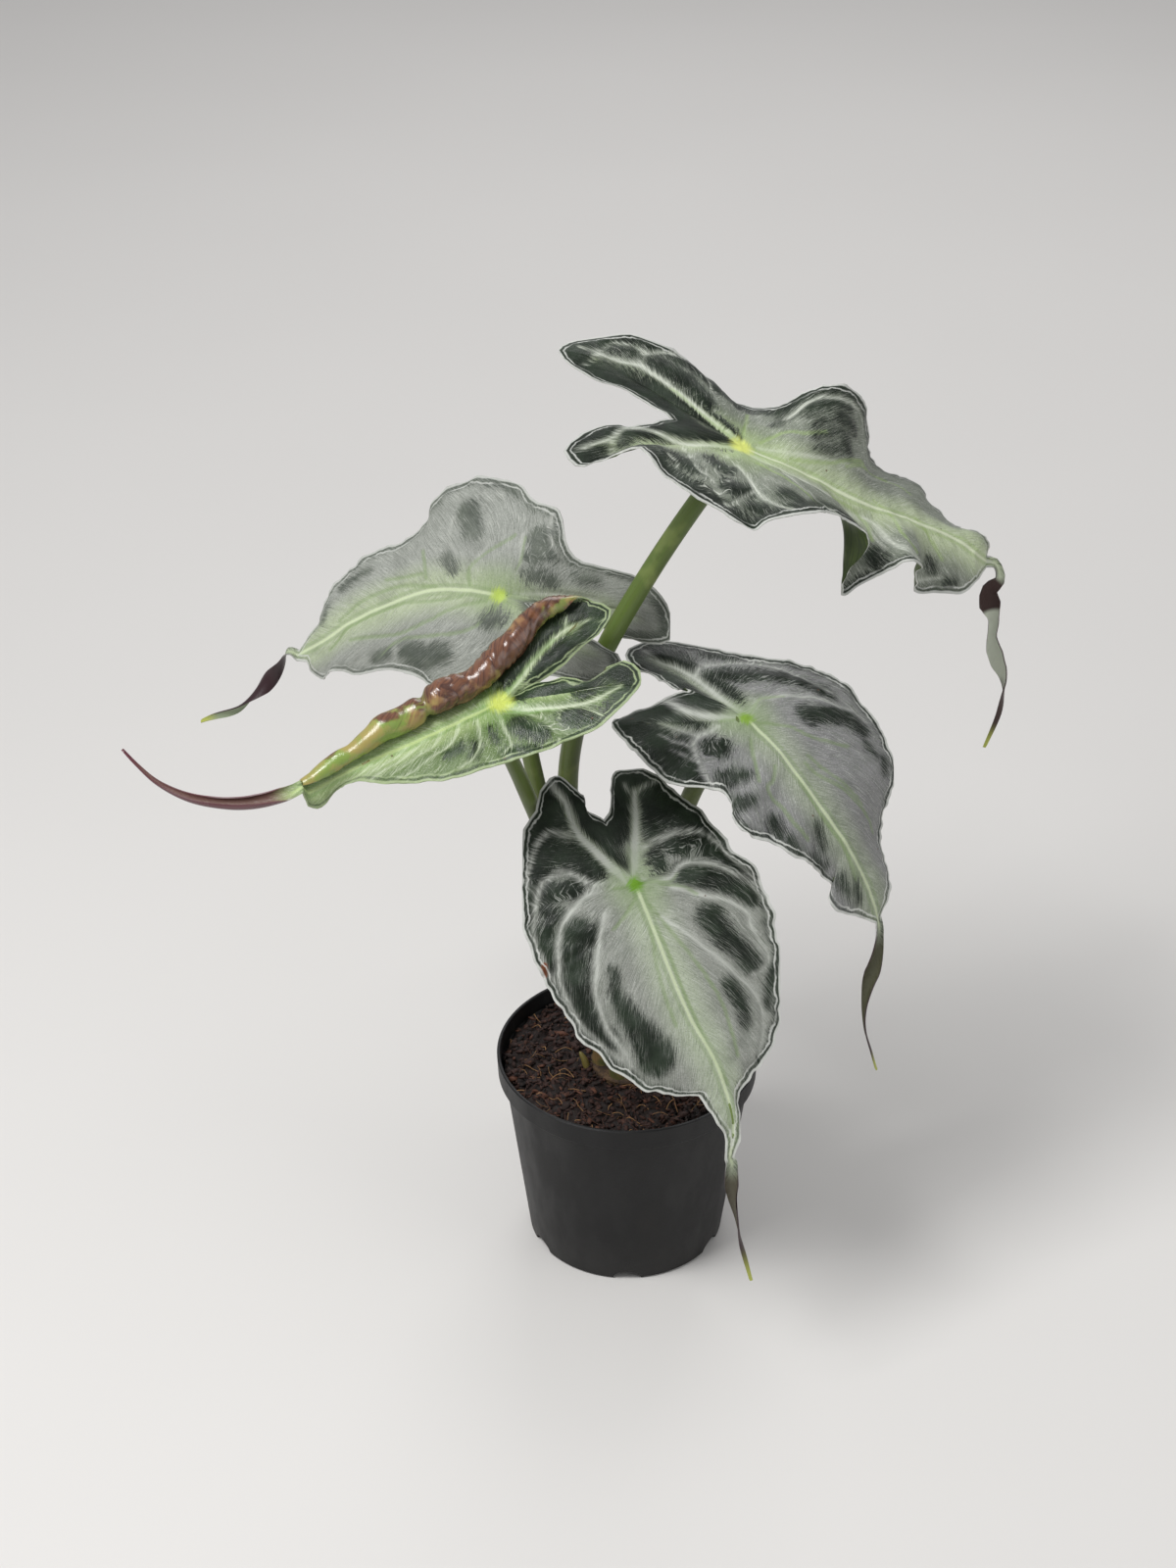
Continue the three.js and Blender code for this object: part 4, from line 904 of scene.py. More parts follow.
ROLLED_VEINS = strokes(
    (1.5, 0.4, (509, 720), (528, 697), (549, 669), (571, 648), (581, 641), (599, 635), (616, 632)),
    (0.7, 0.6, (578, 642), (576, 627)),
    (1.7, 0.5, (511, 722), (539, 723), (571, 721), (595, 718), (613, 711), (634, 700)),
    (0.7, 0.7, (595, 720), (613, 728), (617, 739), (616, 749)),
    (0.9, 0.7, (514, 727), (535, 728), (553, 734), (565, 744), (571, 755), (558, 764)),
    (0.9, 0.5, (507, 725), (514, 742), (521, 760), (511, 770)),
    (1, 0.5, (486, 735), (490, 749), (486, 770), (469, 784)),
    (1, 0.5, (469, 739), (462, 756), (444, 770), (420, 788), (406, 795)),
    (0.9, 0.5, (434, 756), (416, 770), (395, 784), (378, 795)),
    (0.8, 0.5, (451, 748), (441, 762), (420, 776), (399, 790)),
    (0.8, 0.5, (416, 763), (399, 776), (378, 788), (360, 799)),
    (0.7, 0.5, (395, 772), (378, 783), (357, 795)),
    (0.6, 0.5, (504, 714), (507, 700), (509, 690)),
    (0.6, 0.5, (479, 728), (485, 716)),
    (0.4, 0.8, (514, 714), (542, 699), (560, 693), (576, 690)),
    (0.5, 0.8, (578, 688), (585, 676), (599, 665), (609, 658)),
    (0.5, 0.8, (581, 690), (599, 693), (613, 686), (627, 679)),
    (0.5, 0.8, (572, 725), (571, 735), (579, 749)),
)
ROLLED_LINES = threads(
    ((507, 716), (523, 699), (542, 674), (564, 652)),
    ((514, 725), (539, 726), (567, 724)),
)
ROLLED_PANELS = strokes(
    (5, 0.8, (530, 651), (523, 676), (515, 690)),
    (4.5, 0.8, (560, 639), (546, 653)),
    (5, 0.6, (578, 665), (560, 683), (532, 709)),
    (4, 0.9, (609, 648), (599, 669)),
    (3, 0.9, (595, 706), (616, 699)),
    (4.5, 0.9, (581, 623), (606, 621)),
    (3.4, 0.9, (530, 740), (541, 746), (551, 749)),
    (3.4, 0.9, (581, 732), (600, 732)),
    (1, 0.9, (500, 743), (507, 756)),
    (1.6, 0.9, (458, 770), (471, 763)),
    (1.5, 0.9, (485, 760), (483, 770)),
    (2.2, 0.9, (521, 770), (546, 767)),
)

UPPER = Leaf(
    name="upper", heart=(45, 20, 398), azimuth=12, droop=30, roll=24,
    midrib=((15, -2, 2), (32, -2, 2), (60, -1, 0), (92, 6, -4), (119, 11, -8), (138, 10, -12)),
    # This rear half's dark zone inside the margin widens round its shoulder: partly the dark fringe that the
    # leaf has there, partly painted shade on the raised hump turned from the light.
    left=Half(
        rib=(-60, 26, -11), lobe=4, shoulder=10, edge=((-32, 2, -4), (-48, 12, -9), (-62, 17, -14),
        (-71, 23, -18), (-77, 30, -20), (-74, 36, -19), (-64, 41, -15), (-51, 45, -9), (-39, 43, -5),
        (-24, 43, -6), (-8, 40, -9), (9, 38, -13), (20, 36, -6), (24, 34, 6), (31, 38, 15), (45, 43, 17),
        (57, 45, 11), (69, 45, -3), (81, 44, -16), (95, 43, -17), (107, 43, -17), (118, 38, -20),
        (127, 28, -17), (129, 22, -9), (135, 21, -8), (140, 18, -10), (139, 13, -12)), shade=(16, 18, 18,
        14, 7, 9, 10, 6, 3, 0),
    ),
    right=Half(
        rib=(-60, -24, -6), lobe=4, shoulder=11, edge=((-32, 2, -4), (-48, -9, -5), (-63, -14, -9),
        (-71, -21, -12), (-76, -29, -15), (-70, -35, -14), (-62, -32, -7), (-55, -30, 2), (-50, -34, 6),
        (-43, -39, 4), (-29, -45, 6), (-16, -50, 8), (-3, -55, 10), (4, -49, 13), (13, -44, 16),
        (23, -39, 18), (34, -30, 13), (46, -27, 10), (57, -27, 7), (62, -28, 0), (61, -31, -12),
        (65, -35, -22), (71, -31, -15), (78, -28, -4), (84, -25, 3), (93, -21, -2), (96, -19, -10),
        (103, -18, -19), (111, -15, -19), (119, -12, -18), (128, -8, -18), (134, -1, -15), (138, 6, -12)),
        shade=(16, 16, 14, 12, 11, 10, 9, 7, 3, 0),
    ),
    tip=Tip(
        line=((159, 80, 311), (163, 80, 310), (165, 77, 304), (160, 75, 299), (162, 76, 290),
        (164, 77, 283), (164, 77, 274), (167, 77, 263), (171, 77, 251), (170, 76, 236), (164, 74, 217)),
        width=(7, 6, 8, 10, 5, 4, 8, 8, 6, 3.4, 2.4, 1.8, 1.2), twist=(0, 20, 60, 90, 110, 115, 120, 130,
        170, 220, 270, 280, 290), curl=(0.5, 1.2, 1, 0.8),
    ),
    stem=Stem(
        foot_angle=112, foot=5, top=4, line=((-14, 13, 140), (-23, 17, 185), (-27, 18, 228),
        (-24, 16, 262), (-13, 13, 300), (7, 15, 340), (30, 19, 377)),
    ),
    veins=UPPER_VEINS, lines=UPPER_LINES, panels=UPPER_PANELS, boldness=1.4,
)

FRONT = Leaf(
    name="front", heart=(2, -50, 227), azimuth=-57, droop=48, roll=20,
    midrib=((24, 0, 2), (44, 0, 2), (62, 1, 1), (81, 4, 0), (96, 4, -2), (110, 2, -5), (121, -3, -9)),
    left=Half(
        rib=(-39, 17, -6), lobe=4, shoulder=8, edge=((-30, -3, -2), (-34, 2, -3), (-42, 6, -6),
        (-48, 12, -9), (-47, 20, -10), (-41, 26, -9), (-32, 31, -7), (-17, 39, -5), (-1, 44, -4),
        (11, 50, -4), (25, 52, -5), (39, 50, -5), (60, 44, -6), (72, 39, -6), (87, 28, -6), (94, 16, -6),
        (99, 9, -5), (106, 6, -4), (114, 4, -6), (122, -1, -9)), shade=(14, 16, 16, 13, 9, 6, 5, 4, 3, 0),
    ),
    right=Half(
        rib=(-43, -19, -6), lobe=3, shoulder=8, edge=((-30, -3, -2), (-36, -7, -3), (-47, -9, -6),
        (-56, -14, -9), (-53, -20, -9), (-45, -27, -7), (-38, -36, -5), (-24, -42, -4), (-7, -49, -4),
        (9, -52, -5), (26, -50, -6), (37, -48, -6), (49, -46, -6), (62, -41, -6), (78, -32, -6),
        (89, -16, -5), (93, -8, -4), (103, -5, -4), (112, -3, -6), (120, -5, -9)), shade=(14, 16, 16, 13,
        10, 8, 6, 4, 3, 0),
    ),
    tip=Tip(
        line=((42, -112, 129), (43, -112, 126), (43, -113, 121), (44, -114, 109), (46, -114, 97),
        (48, -114, 83), (50, -114, 74), (53, -115, 62)), width=(4.5, 5.5, 6.5, 5, 3.5, 2.6, 2.4, 2.2, 1.6,
        1.2), twist=(0, 20, 50, 70, 100, 140, 170, 180), curl=(0.6, 1.6, 1.4, 1, 0.8),
    ),
    stem=Stem(
        foot_angle=326, foot=4.8, top=3.6, line=((8, -9, 125), (5, -20, 160), (3, -36, 200)),
    ),
    veins=FRONT_VEINS, lines=FRONT_LINES, panels=FRONT_PANELS, rust=FRONT_RUST, waver=1.1,
)

RIGHT_LEAF = Leaf(
    name="right", heart=(49, -10, 285), azimuth=-20, droop=22, roll=8,
    midrib=((19, -9, 1), (35, -15, -3), (52, -19, -10), (67, -20, -20), (81, -20, -34), (91, -21, -46)),
    left=Half(
        rib=(-48, 20, -15), lobe=4, shoulder=9, edge=((-27, 2, -4), (-34, 2, -8), (-44, 9, -14),
        (-52, 13, -19), (-60, 21, -22), (-57, 29, -20), (-46, 34, -14), (-31, 36, -8), (-15, 37, -3),
        (2, 42, 1), (17, 45, 3), (30, 44, 4), (42, 42, 1), (53, 38, -3), (62, 33, -8), (68, 25, -13),
        (70, 17, -20), (72, 11, -27), (76, 5, -31), (84, -3, -34), (89, -10, -38), (92, -18, -46)),
        shade=(12, 12, 12, 9, 5, 4, 3, 3, 2, 0),
    ),
    right=Half(
        rib=(-36, -16, -17), lobe=5, shoulder=9, edge=((-27, 2, -4), (-32, 0, -8), (-36, -3, -14),
        (-41, -6, -19), (-46, -11, -23), (-49, -19, -24), (-39, -26, -22), (-24, -36, -18),
        (-11, -42, -14), (-2, -38, -12), (6, -35, -11), (13, -38, -12), (18, -46, -12), (26, -48, -13),
        (35, -42, -16), (44, -40, -18), (52, -37, -22), (60, -32, -28), (67, -31, -33), (68, -36, -36),
        (74, -35, -39), (81, -30, -42), (90, -24, -46)), shade=(14, 18, 18, 14, 8, 5, 4, 3, 2, 0),
    ),
    tip=Tip(
        line=((106, -46, 206), (107, -46, 200), (107, -46, 192), (106, -46, 182), (104, -45, 170),
        (103, -45, 157), (104, -45, 145), (107, -45, 134), (110, -45, 123)), width=(6, 4.5, 5.5, 7, 5.5,
        3.6, 2.4, 2.2, 1.8, 1.2), twist=(0, 40, 80, 110, 140, 160, 180), curl=(0.6, 1.4, 1.6, 1.2, 0.9,
        0.8),
    ),
    stem=Stem(
        foot_angle=38, foot=4.9, top=3.8, line=((13, 7, 145), (19, 7, 190), (25, 5, 230), (38, -3, 265)),
    ),
    veins=RIGHT_VEINS, lines=RIGHT_LINES, panels=RIGHT_PANELS, waver=0.8, boldness=1.35,
)

BACK = Leaf(
    name="back", heart=(-56, 25, 325), azimuth=176, droop=24, roll=-40,
    midrib=((12, -6, 2), (29, -12, 2), (49, -14, -1), (70, -14, -5), (88, -12, -10), (101, -12, -14)),
    left=Half(
        rib=(-27, 34, -9), lobe=4, shoulder=8, edge=((-12, 8, -3), (-20, 16, -5), (-29, 26, -9),
        (-36, 33, -13), (-42, 41, -15), (-38, 47, -15), (-26, 46, -13), (-10, 38, -11), (7, 37, -9),
        (24, 35, -7), (38, 29, -6), (48, 19, -5), (60, 12, -7), (74, 8, -10), (85, 3, -10), (93, 3, -15),
        (97, -2, -14), (97, -6, -12), (100, -9, -14)), shade=(3, 4, 5, 4, 3, 3, 2, 2, 2, 0),
    ),
    right=Half(
        rib=(-47, 16, -22), lobe=5, shoulder=12, edge=((-12, 8, -3), (-22, 12, -11), (-31, 16, -21),
        (-38, 21, -29), (-49, 28, -35), (-60, 31, -35), (-64, 25, -31), (-64, 16, -24), (-57, 6, -15),
        (-45, 0, -8), (-36, -6, -3), (-35, -14, 2), (-36, -25, 4), (-25, -36, 1), (-20, -46, 0),
        (-8, -54, 0), (6, -57, 0), (18, -53, 1), (25, -44, 0), (36, -41, -2), (52, -42, -5), (68, -39, -8),
        (80, -33, -10), (89, -22, -12), (101, -15, -14)), shade=(3, 6, 8, 7, 5, 4, 4, 3, 2, 0),
    ),
    tip=Tip(
        line=((-146, 49, 281), (-150, 49, 283), (-154, 50, 275), (-159, 51, 268), (-167, 51, 260),
        (-176, 52, 251), (-187, 52, 247), (-192, 52, 245)), width=(6, 5, 6.5, 8, 6, 5, 3, 1.2), twist=(0,
        30, 90, 150, 200, 250, 290, 320), curl=(0.6, 1.4, 1.6, 1.2, 0.9, 0.8),
    ),
    stem=Stem(
        foot_angle=180, foot=4.6, top=3.4, line=((-15, 0, 130), (-24, 3, 165), (-33, 7, 205),
        (-42, 13, 245), (-49, 19, 285), (-54, 23, 309)),
    ),
    veins=BACK_VEINS, lines=BACK_LINES, panels=BACK_PANELS,
)

ROLLED = Leaf(
    name="rolled", heart=(-54, -40, 311), azimuth=200, droop=17, roll=-14,
    midrib=((18, 0, 0), (36, 0, 0), (53, -1, 0), (71, -1, 0), (84, 0, 0), (92, 1, 2)),
    left=Half(
        rib=(-43, 19, 2), lobe=6, shoulder=10, edge=((-8, -2, -2), (-16, -1, 0), (-27, 4, 2), (-37, 12, 3),
        (-50, 11, 4), (-56, 17, 4), (-55, 23, 2), (-46, 28, 0), (-37, 30, -2), (-29, 32, -3),
        (-15, 31, -3), (-2, 30, -3), (12, 27, -3), (29, 24, -3), (44, 18, -3), (57, 11, -3), (68, 3, -3),
        (78, 1, -6), (86, 4, -7), (92, 3, 0)), shade=(13, 18, 17, 13, 7, 4, 2, 1, 0, 0),
    ),
    right=Half(
        rib=(-44, -17, 5), lobe=6, shoulder=10, edge=((-8, -2, -2), (-23, -4, -2), (-34, -6, 0),
        (-44, -8, 2), (-53, -10, 4), (-59, -16, 6), (-54, -22, 8), (-43, -25, 8), (-34, -26, 8),
        (-27, -24, 7), (-14, -18, 4), (2, -12, 2), (18, -10, 2), (36, -9, 2), (52, -8, 2), (67, -6, 2),
        (80, -4, 2), (92, -1, 2)), shade=(12, 16, 16, 12, 4, 0, 0, 0, 0, 0), strip=(0, 16, 34, 42, 42, 40,
        34, 26, 17, 10, 5), scroll=(2.5, 4, 6, 6.6, 6, 6.8, 5.8, 5, 3.8, 3, 2.4),
    ),
    tip=Tip(
        line=((-134, -73, 291), (-141, -73, 286), (-153, -73, 282), (-165, -71, 280), (-181, -69, 282),
        (-194, -66, 288), (-202, -63, 295), (-208, -60, 301)), width=(6, 10, 11, 10, 8, 6, 4, 2.6, 1.4),
        twist=(0, 10, 20, 30, 30), curl=(1, 3.4, 4.2, 4.2, 3.6, 3, 2, 1.2),
    ),
    stem=Stem(
        foot_angle=252, foot=4.4, top=3.1, line=((-10, -12, 140), (-23, -14, 180), (-36, -18, 228),
        (-46, -25, 262), (-53, -35, 290)),
    ),
    veins=ROLLED_VEINS, lines=ROLLED_LINES, panels=ROLLED_PANELS, boldness=1.5,
)

LEAVES = (UPPER, FRONT, RIGHT_LEAF, BACK, ROLLED)


class BladeSheet:
    """A blade's middle surface, found from the leaf's measured lines.

    Args:
        leaf: The leaf.
    """

    VEIN_BOW = 0.3
    PANEL_ARCH = 0.05
    QUILT_HEIGHT = 0.9
    QUILT_VEINS = (1, 2, 5)
    FADE_SHARE = 0.15
    LOBE_FADE = 0.6
    ROOT_POWER = 1.35
    MAIN_ROWS = 26
    TIP_ROWS = 13
    LOBE_POWER = 0.75
    SINUS_POWER = 1.4
    WAVER_STEPS = (0.09, 0.19)
    SCROLL_TIGHTENS = 0.44
    SCROLL_START = 0.25
    PLEAT = 6.2
    PINCH = 29.0
    CHART_COLUMNS = 61
    CHART_LOBE_ROWS = 81
    CHART_MAIN_ROWS = 241
    NEAR_STEP = 1.5
    NEAR_PIXELS = 3.0
    FRONT_DEPTH = 4.0

    def __init__(self, leaf: Leaf) -> None:
        self.leaf = leaf
        a, p, r = (math.radians(angle) for angle in (leaf.azimuth, leaf.droop, leaf.roll))
        self.along = np.array([math.cos(a) * math.cos(p), math.sin(a) * math.cos(p), -math.sin(p)])
        level = np.array([-math.sin(a), math.cos(a), 0.0])
        over = np.cross(self.along, level)
        self.across = level * math.cos(r) + over * math.sin(r)
        self.up = np.cross(self.along, self.across)
        self.heart = np.array(leaf.heart, float)
        self.midrib = SmoothLine([self.place(p) for p in ((0, 0, 0), *leaf.midrib)])
        self.edges = {side: SmoothLine([self.place(p) for p in leaf.half(side).edge]) for side in Side}
        self.tip = SmoothLine(leaf.tip.line)
        self.tip_across = self.carried_across()
        self.chart = self.charted()

    def place(self, point: Point) -> Array:
        """A point of the leaf's frame in the row frame."""
        return self.heart + self.along * point[0] + self.across * point[1] + self.up * point[2]

    def carried_across(self) -> list[Array]:
        """Carries the blade's sideways direction down the drip tip.

        Returns:
            The direction at each of the tip's rows.
        """
        across = self.across
        carried = []
        for row in range(self.TIP_ROWS + 1):
            across = square_to(across, self.tip.tangent(row / self.TIP_ROWS))
            carried.append(across)
        return carried

    def row(self, side: Side, station: float, shares: Array) -> Array:
        """Points across one half.

        Args:
            side: The half.
            station: 0 to 1 from the sinus to the lobe's tip, 1 to 2 on to the shoulder, 2 to 3 on
                to the drip tip, and 3 to 4 down it.
            shares: 0 at the rib to 1 at the edge.

        Returns:
            One point for each share.
        """
        if station >= 3:
            return self.tip_row(side, station - 3, shares)
        last = 3 - 1 / self.MAIN_ROWS
        if station <= last:
            return self.blade_row(side, station, shares)
        closing = (station - last) * self.MAIN_ROWS
        start = self.blade_row(side, last, shares)
        return start + (self.tip_row(side, 0.0, shares) - start) * closing

    def blade_row(self, side: Side, station: float, shares: Array) -> Array:
        """Points across one half, short of the drip tip.

        Args:
            side: The half.
            station: The station, from 0 to 3.
            shares: 0 at the rib to 1 at the edge.

        Returns:
            One point for each share.
        """
        half = self.leaf.half(side)
        section = min(int(station), 2)
        s = station - section
        end = self.margin_point(side, station)
        rib = self.place(half.rib)
        if section == 2:
            share = s**self.ROOT_POWER
            root, forward = self.midrib.point(share), self.midrib.tangent(share)
            bow = self.VEIN_BOW * smooth(s / self.FADE_SHARE)
        else:
            root = self.heart + (rib - self.heart) * (s if section == 0 else 1 - s) ** self.LOBE_POWER
            forward = (rib - self.heart) / np.linalg.norm(rib - self.heart)
            bow = self.VEIN_BOW * 4 * s * (1 - s)
        fade = smooth((1 - s) / self.FADE_SHARE) * (1 if section == 2 else self.LOBE_FADE)
        wave = 0.5 - 0.5 * math.cos(2 * math.pi * self.QUILT_VEINS[section] * s)
        if section > 0 and half.strip:
            radius = sample(half.scroll, self.scroll_share(station))
            return self.scroll_row(root, end, self.strip_width(side, station), radius, shares)
        return self.vein_row(root, end, forward, bow, self.QUILT_HEIGHT * fade * wave, shares)

    def margin_point(self, side: Side, station: float) -> Array:
        """The point of the margin, or of a scroll's base line.

        Args:
            side: The half.
            station: The station, from 0 to 3.

        Returns:
            The point.
        """
        half = self.leaf.half(side)
        section = min(int(station), 2)
        share = (station - section) ** (self.SINUS_POWER if section == 0 else 1.0)
        knots = (0, half.lobe, half.shoulder, len(half.edge) - 1)
        point = self.edges[side].point(share, knots[section], knots[section + 1])
        if half.strip and section > 0:
            return point
        waver = sum(np.array(noise.noise_vector(Vector(point * step))) for step in self.WAVER_STEPS)
        return point + waver * self.leaf.waver * smooth((3 - station) / 0.2)

    def scroll_share(self, station: float) -> float:
        """How far along a scroll a station lies, from the lobe's tip to the drip tip."""
        share = mix(self.SCROLL_START, 1, station - 2) if station > 2 else self.SCROLL_START * (station - 1)
        return min(max(share, 0.0), 1.0)

    def strip_width(self, side: Side, station: float) -> float:
        """The width that is rolled up at a station."""
        strip = self.leaf.half(side).strip
        return sample(strip, self.scroll_share(station)) if strip and 1 < station < 3 else 0.0

    def vein_row(
        self, root: Array, end: Array, forward: Array, bow: float, quilt: float, shares: Array
    ) -> Array:
        """Points on a line that leaves its root sideways and curves forward to the margin.

        Args:
            root: Its start.
            end: Its end on the margin.
            forward: The way that it curves.
            bow: How strongly it curves.
            quilt: The extra rise between veins.
            shares: 0 to 1 along it.

        Returns:
            One point for each share.
        """
        reach = end - root
        control = root + reach * 0.5 - forward * bow * (reach @ forward)
        r = shares[:, None]
        swell = np.sin(np.pi * r) * (self.PANEL_ARCH * np.linalg.norm(reach) + quilt)
        return root * (1 - r) ** 2 + control * 2 * r * (1 - r) + end * r**2 + self.up * swell

    def scroll_row(self, root: Array, end: Array, strip: float, radius: float, shares: Array) -> Array:
        """Points across the half that curls up and over into a wrinkled scroll.

        Args:
            root: The row's start on the midrib.
            end: The scroll's base line.
            strip: The width that is rolled up.
            radius: The scroll's radius.
            shares: 0 to 1 across flat and rolled part.

        Returns:
            One point for each share.
        """
        out = end - root
        flat = np.linalg.norm(out)
        run = shares * (flat + strip)
        part = np.minimum(run / flat, 1.0)[:, None]
        swell = np.sin(np.pi * part) * self.PANEL_ARCH * flat
        points = root + (end - root) * part + self.up * swell
        out = square_to(out, self.along)
        rise = np.cross(self.along, out)
        rise = rise if rise @ self.up > 0 else -rise
        wound = np.clip((run - flat) / max(strip, 1e-6), 0.0, 1.0)
        angle = wound * strip / (radius * (1 - self.SCROLL_TIGHTENS / 2))
        reach = radius * (1 - self.SCROLL_TIGHTENS * wound)
        reach = reach + self.wrinkles(float((end - self.heart) @ self.along), angle) * smooth(radius / 5)
        curled = end + np.outer(radius - reach * np.cos(angle), rise) + np.outer(reach * np.sin(angle), out)
        return np.where((run > flat)[:, None], curled, points)

    def wrinkles(self, run: float, angle: Array) -> Array:
        """The folds that ring the scroll.

        Args:
            run: How far along the scroll.
            angle: The angles round it.

        Returns:
            How far each point stands out or in, in millimetres.
        """
        pinch = 2.2 * math.exp(-(((run - self.PINCH) / 2.4) ** 2))
        folds = self.pillows(run, angle) + ripple(run / 14.0, angle * 0.4, 9.0) * 1.7 - pinch
        return folds * np.clip(angle / 1.2, 0, 1)

    def pillows(self, run: float, angle: Array) -> Array:
        """0 in the folds that ring the scroll to 1 on the pillows between them.

        Args:
            run: How far along the scroll.
            angle: The angles round it.

        Returns:
            One value for each angle.
        """
        sway = ripple(run / 8.0, angle * 0.7, 4.0)
        depth = ripple(run / 11.0, angle * 0.5, 14.0)
        deep = mix(0.12, 1.0, smooth((self.PINCH + 1 - run) / 10)) * np.clip(0.85 + depth, 0.35, 1.0)
        folds = np.abs(np.sin(np.pi * (run / self.PLEAT + sway * 1.3 + angle * 0.14)))
        return 1 - (1 - folds) * deep

    def fold_row(self, side: Side, station: float, wound: Array) -> Array:
        """0 in the scroll's folds to 1 on its pillows.

        Args:
            side: The half.
            station: The station, from 0 to 4.
            wound: How far along the rolled-up strip each point is, as a share.

        Returns:
            One value for each point.
        """
        strip = self.strip_width(side, station)
        if strip == 0.0:
            return np.ones(len(wound))
        radius = sample(self.leaf.half(side).scroll, self.scroll_share(station))
        run = float((self.margin_point(side, station) - self.heart) @ self.along)
        return self.pillows(run, wound * strip / (radius * (1 - self.SCROLL_TIGHTENS / 2)))

    def tip_row(self, side: Side, share: float, shares: Array) -> Array:
        """Points across one half of the drip tip.

        Args:
            side: The half.
            share: 0 to 1 down the tip.
            shares: 0 at its middle to 1 at its edge.

        Returns:
            One point for each share.
        """
        tip = self.leaf.tip
        tangent = self.tip.tangent(share)
        carried = share * self.TIP_ROWS
        first = min(int(carried), self.TIP_ROWS - 1)
        across = mix(self.tip_across[first], self.tip_across[first + 1], carried - first)
        across = square_to(across, tangent)
        turn = math.radians(sample(tip.twist, share))
        flat = across * math.cos(turn) + np.cross(tangent, across) * math.sin(turn)
        rise = np.cross(tangent, flat)
        curl = sample(tip.curl, share)
        angle = shares * curl / 2
        arc = sample(tip.width, share) / curl
        sideways = np.outer(arc * np.sin(angle), flat) * side.value
        return self.tip.point(share) + sideways + np.outer(arc * (1 - np.cos(angle)), rise)

    def charted(self) -> tuple[Array, Array, Array]:
        """Closely spaced points of the blade, short of its drip tip.

        Returns:
            Each point's place seen from over the blade, its pixel in the photograph, and how far
            ahead of the camera it lies.
        """
        shares = np.linspace(0, 1, self.CHART_COLUMNS)
        stations = [*np.linspace(0, 2, self.CHART_LOBE_ROWS), *np.linspace(2, 3, self.CHART_MAIN_ROWS)[1:]]
        points = np.vstack([self.row(side, station, shares) for side in Side for station in stations])
        return self.seen_flat(points), *Viewpoint().shows(points)

    def stroke_line(self, stroke: Stroke) -> Array:
        """Closely spaced points along a stroke, laid where the photograph shows it on the blade.

        Args:
            stroke: The stroke.

        Returns:
            The points, seen from over the blade.
        """
        flat, pixels, ahead = self.chart
        path = []
        for pixel in stroke.path:
            miss = np.linalg.norm(pixels - np.array(pixel), axis=1)
            near = np.flatnonzero(miss < max(miss.min() + self.NEAR_STEP, self.NEAR_PIXELS))
            front = near[ahead[near] < ahead[near].min() + self.FRONT_DEPTH]
            path.append(flat[front[np.argmin(miss[front])]])
        line = SmoothLine(path)
        return line.at(np.linspace(0, line.last, 8 * line.last + 1))

    def seen_flat(self, points: Array) -> Array:
        """Each point's place along and across the leaf, seen from over the blade."""
        away = points - self.heart
        return np.stack([away @ self.along, away @ self.across], axis=-1)


def inside_by(line: Array, widths: Array, points: Array) -> Array:
    """How deep each point lies inside a drawn line of changing half width.

    Args:
        line: The line's points.
        widths: The half width at each of them.
        points: The points to measure.

    Returns:
        One depth for each point, below nothing outside the line.
    """
    start, run = line[:-1], np.diff(line, axis=0)
    squared = np.maximum((run**2).sum(1), 1e-9)
    away = points[:, None, :] - start[None]
    part = np.clip((away * run[None]).sum(2) / squared, 0.0, 1.0)
    gap = away - part[..., None] * run[None]
    width = widths[:-1] + part * np.diff(widths)
    return (width - np.sqrt((gap**2).sum(2))).max(1)


def lay_grid(bm: Mesh, points: Array, run: Array) -> dict[Vert, tuple[int, int]]:
    """Lays a grid of faces over rows of points and maps it in centimetres.

    Args:
        bm: The mesh that takes the grid.
        points: Rows of points.
        run: The map's two coordinates at each point.

    Returns:
        The row and column of each new vertex.
    """
    rows, columns = points.shape[:2]
    made = bmesh.ops.create_grid(bm, x_segments=columns - 1, y_segments=rows - 1, size=0.5)["verts"]
    layer = bm.loops.layers.uv.get("run") or bm.loops.layers.uv.new("run")
    spots = {}
    for vert in made:
        spot = (round((vert.co.y + 0.5) * (rows - 1)), round((vert.co.x + 0.5) * (columns - 1)))
        vert.co = points[spot]
        spots[vert] = spot
    for face in {face for vert in made for face in vert.link_faces}:
        for loop in face.loops:
            loop[layer].uv = run[spots[loop.vert]]
    return spots


def close_up(bm: Mesh, gap: float = 0.01) -> None:
    """Merges touching seams and turns all faces the same way."""
    bmesh.ops.remove_doubles(bm, verts=bm.verts, dist=gap)
    bmesh.ops.recalc_face_normals(bm, faces=bm.faces)


def lathe(bm: Mesh, profile: Sequence[tuple[float, float]], steps: int) -> None:
    """Spins a profile of (radius, height) into a closed body.

    Args:
        bm: The mesh that takes it.
        profile: The profile from the axis round and back to the axis.
        steps: The number of steps round.
    """
    verts = [bm.verts.new((radius, 0.0, height)) for radius, height in profile]
    edges = [bm.edges.new(pair) for pair in zip(verts, verts[1:])]
    bmesh.ops.spin(
        bm, geom=verts + edges, cent=(0, 0, 0), axis=UP, angle=2 * math.pi, steps=steps, use_merge=True
    )
    close_up(bm, 1e-3)


def placed(bm: Mesh, name: str) -> Piece:
    """Makes a mesh an object of the scene.

    Args:
        bm: The mesh, freed here.
        name: The object's name.

    Returns:
        The object.
    """
    mesh = bpy.data.meshes.new(name)
    bm.to_mesh(mesh)
    bm.free()
    piece = bpy.data.objects.new(name, mesh)
    bpy.context.scene.collection.objects.link(piece)
    return piece


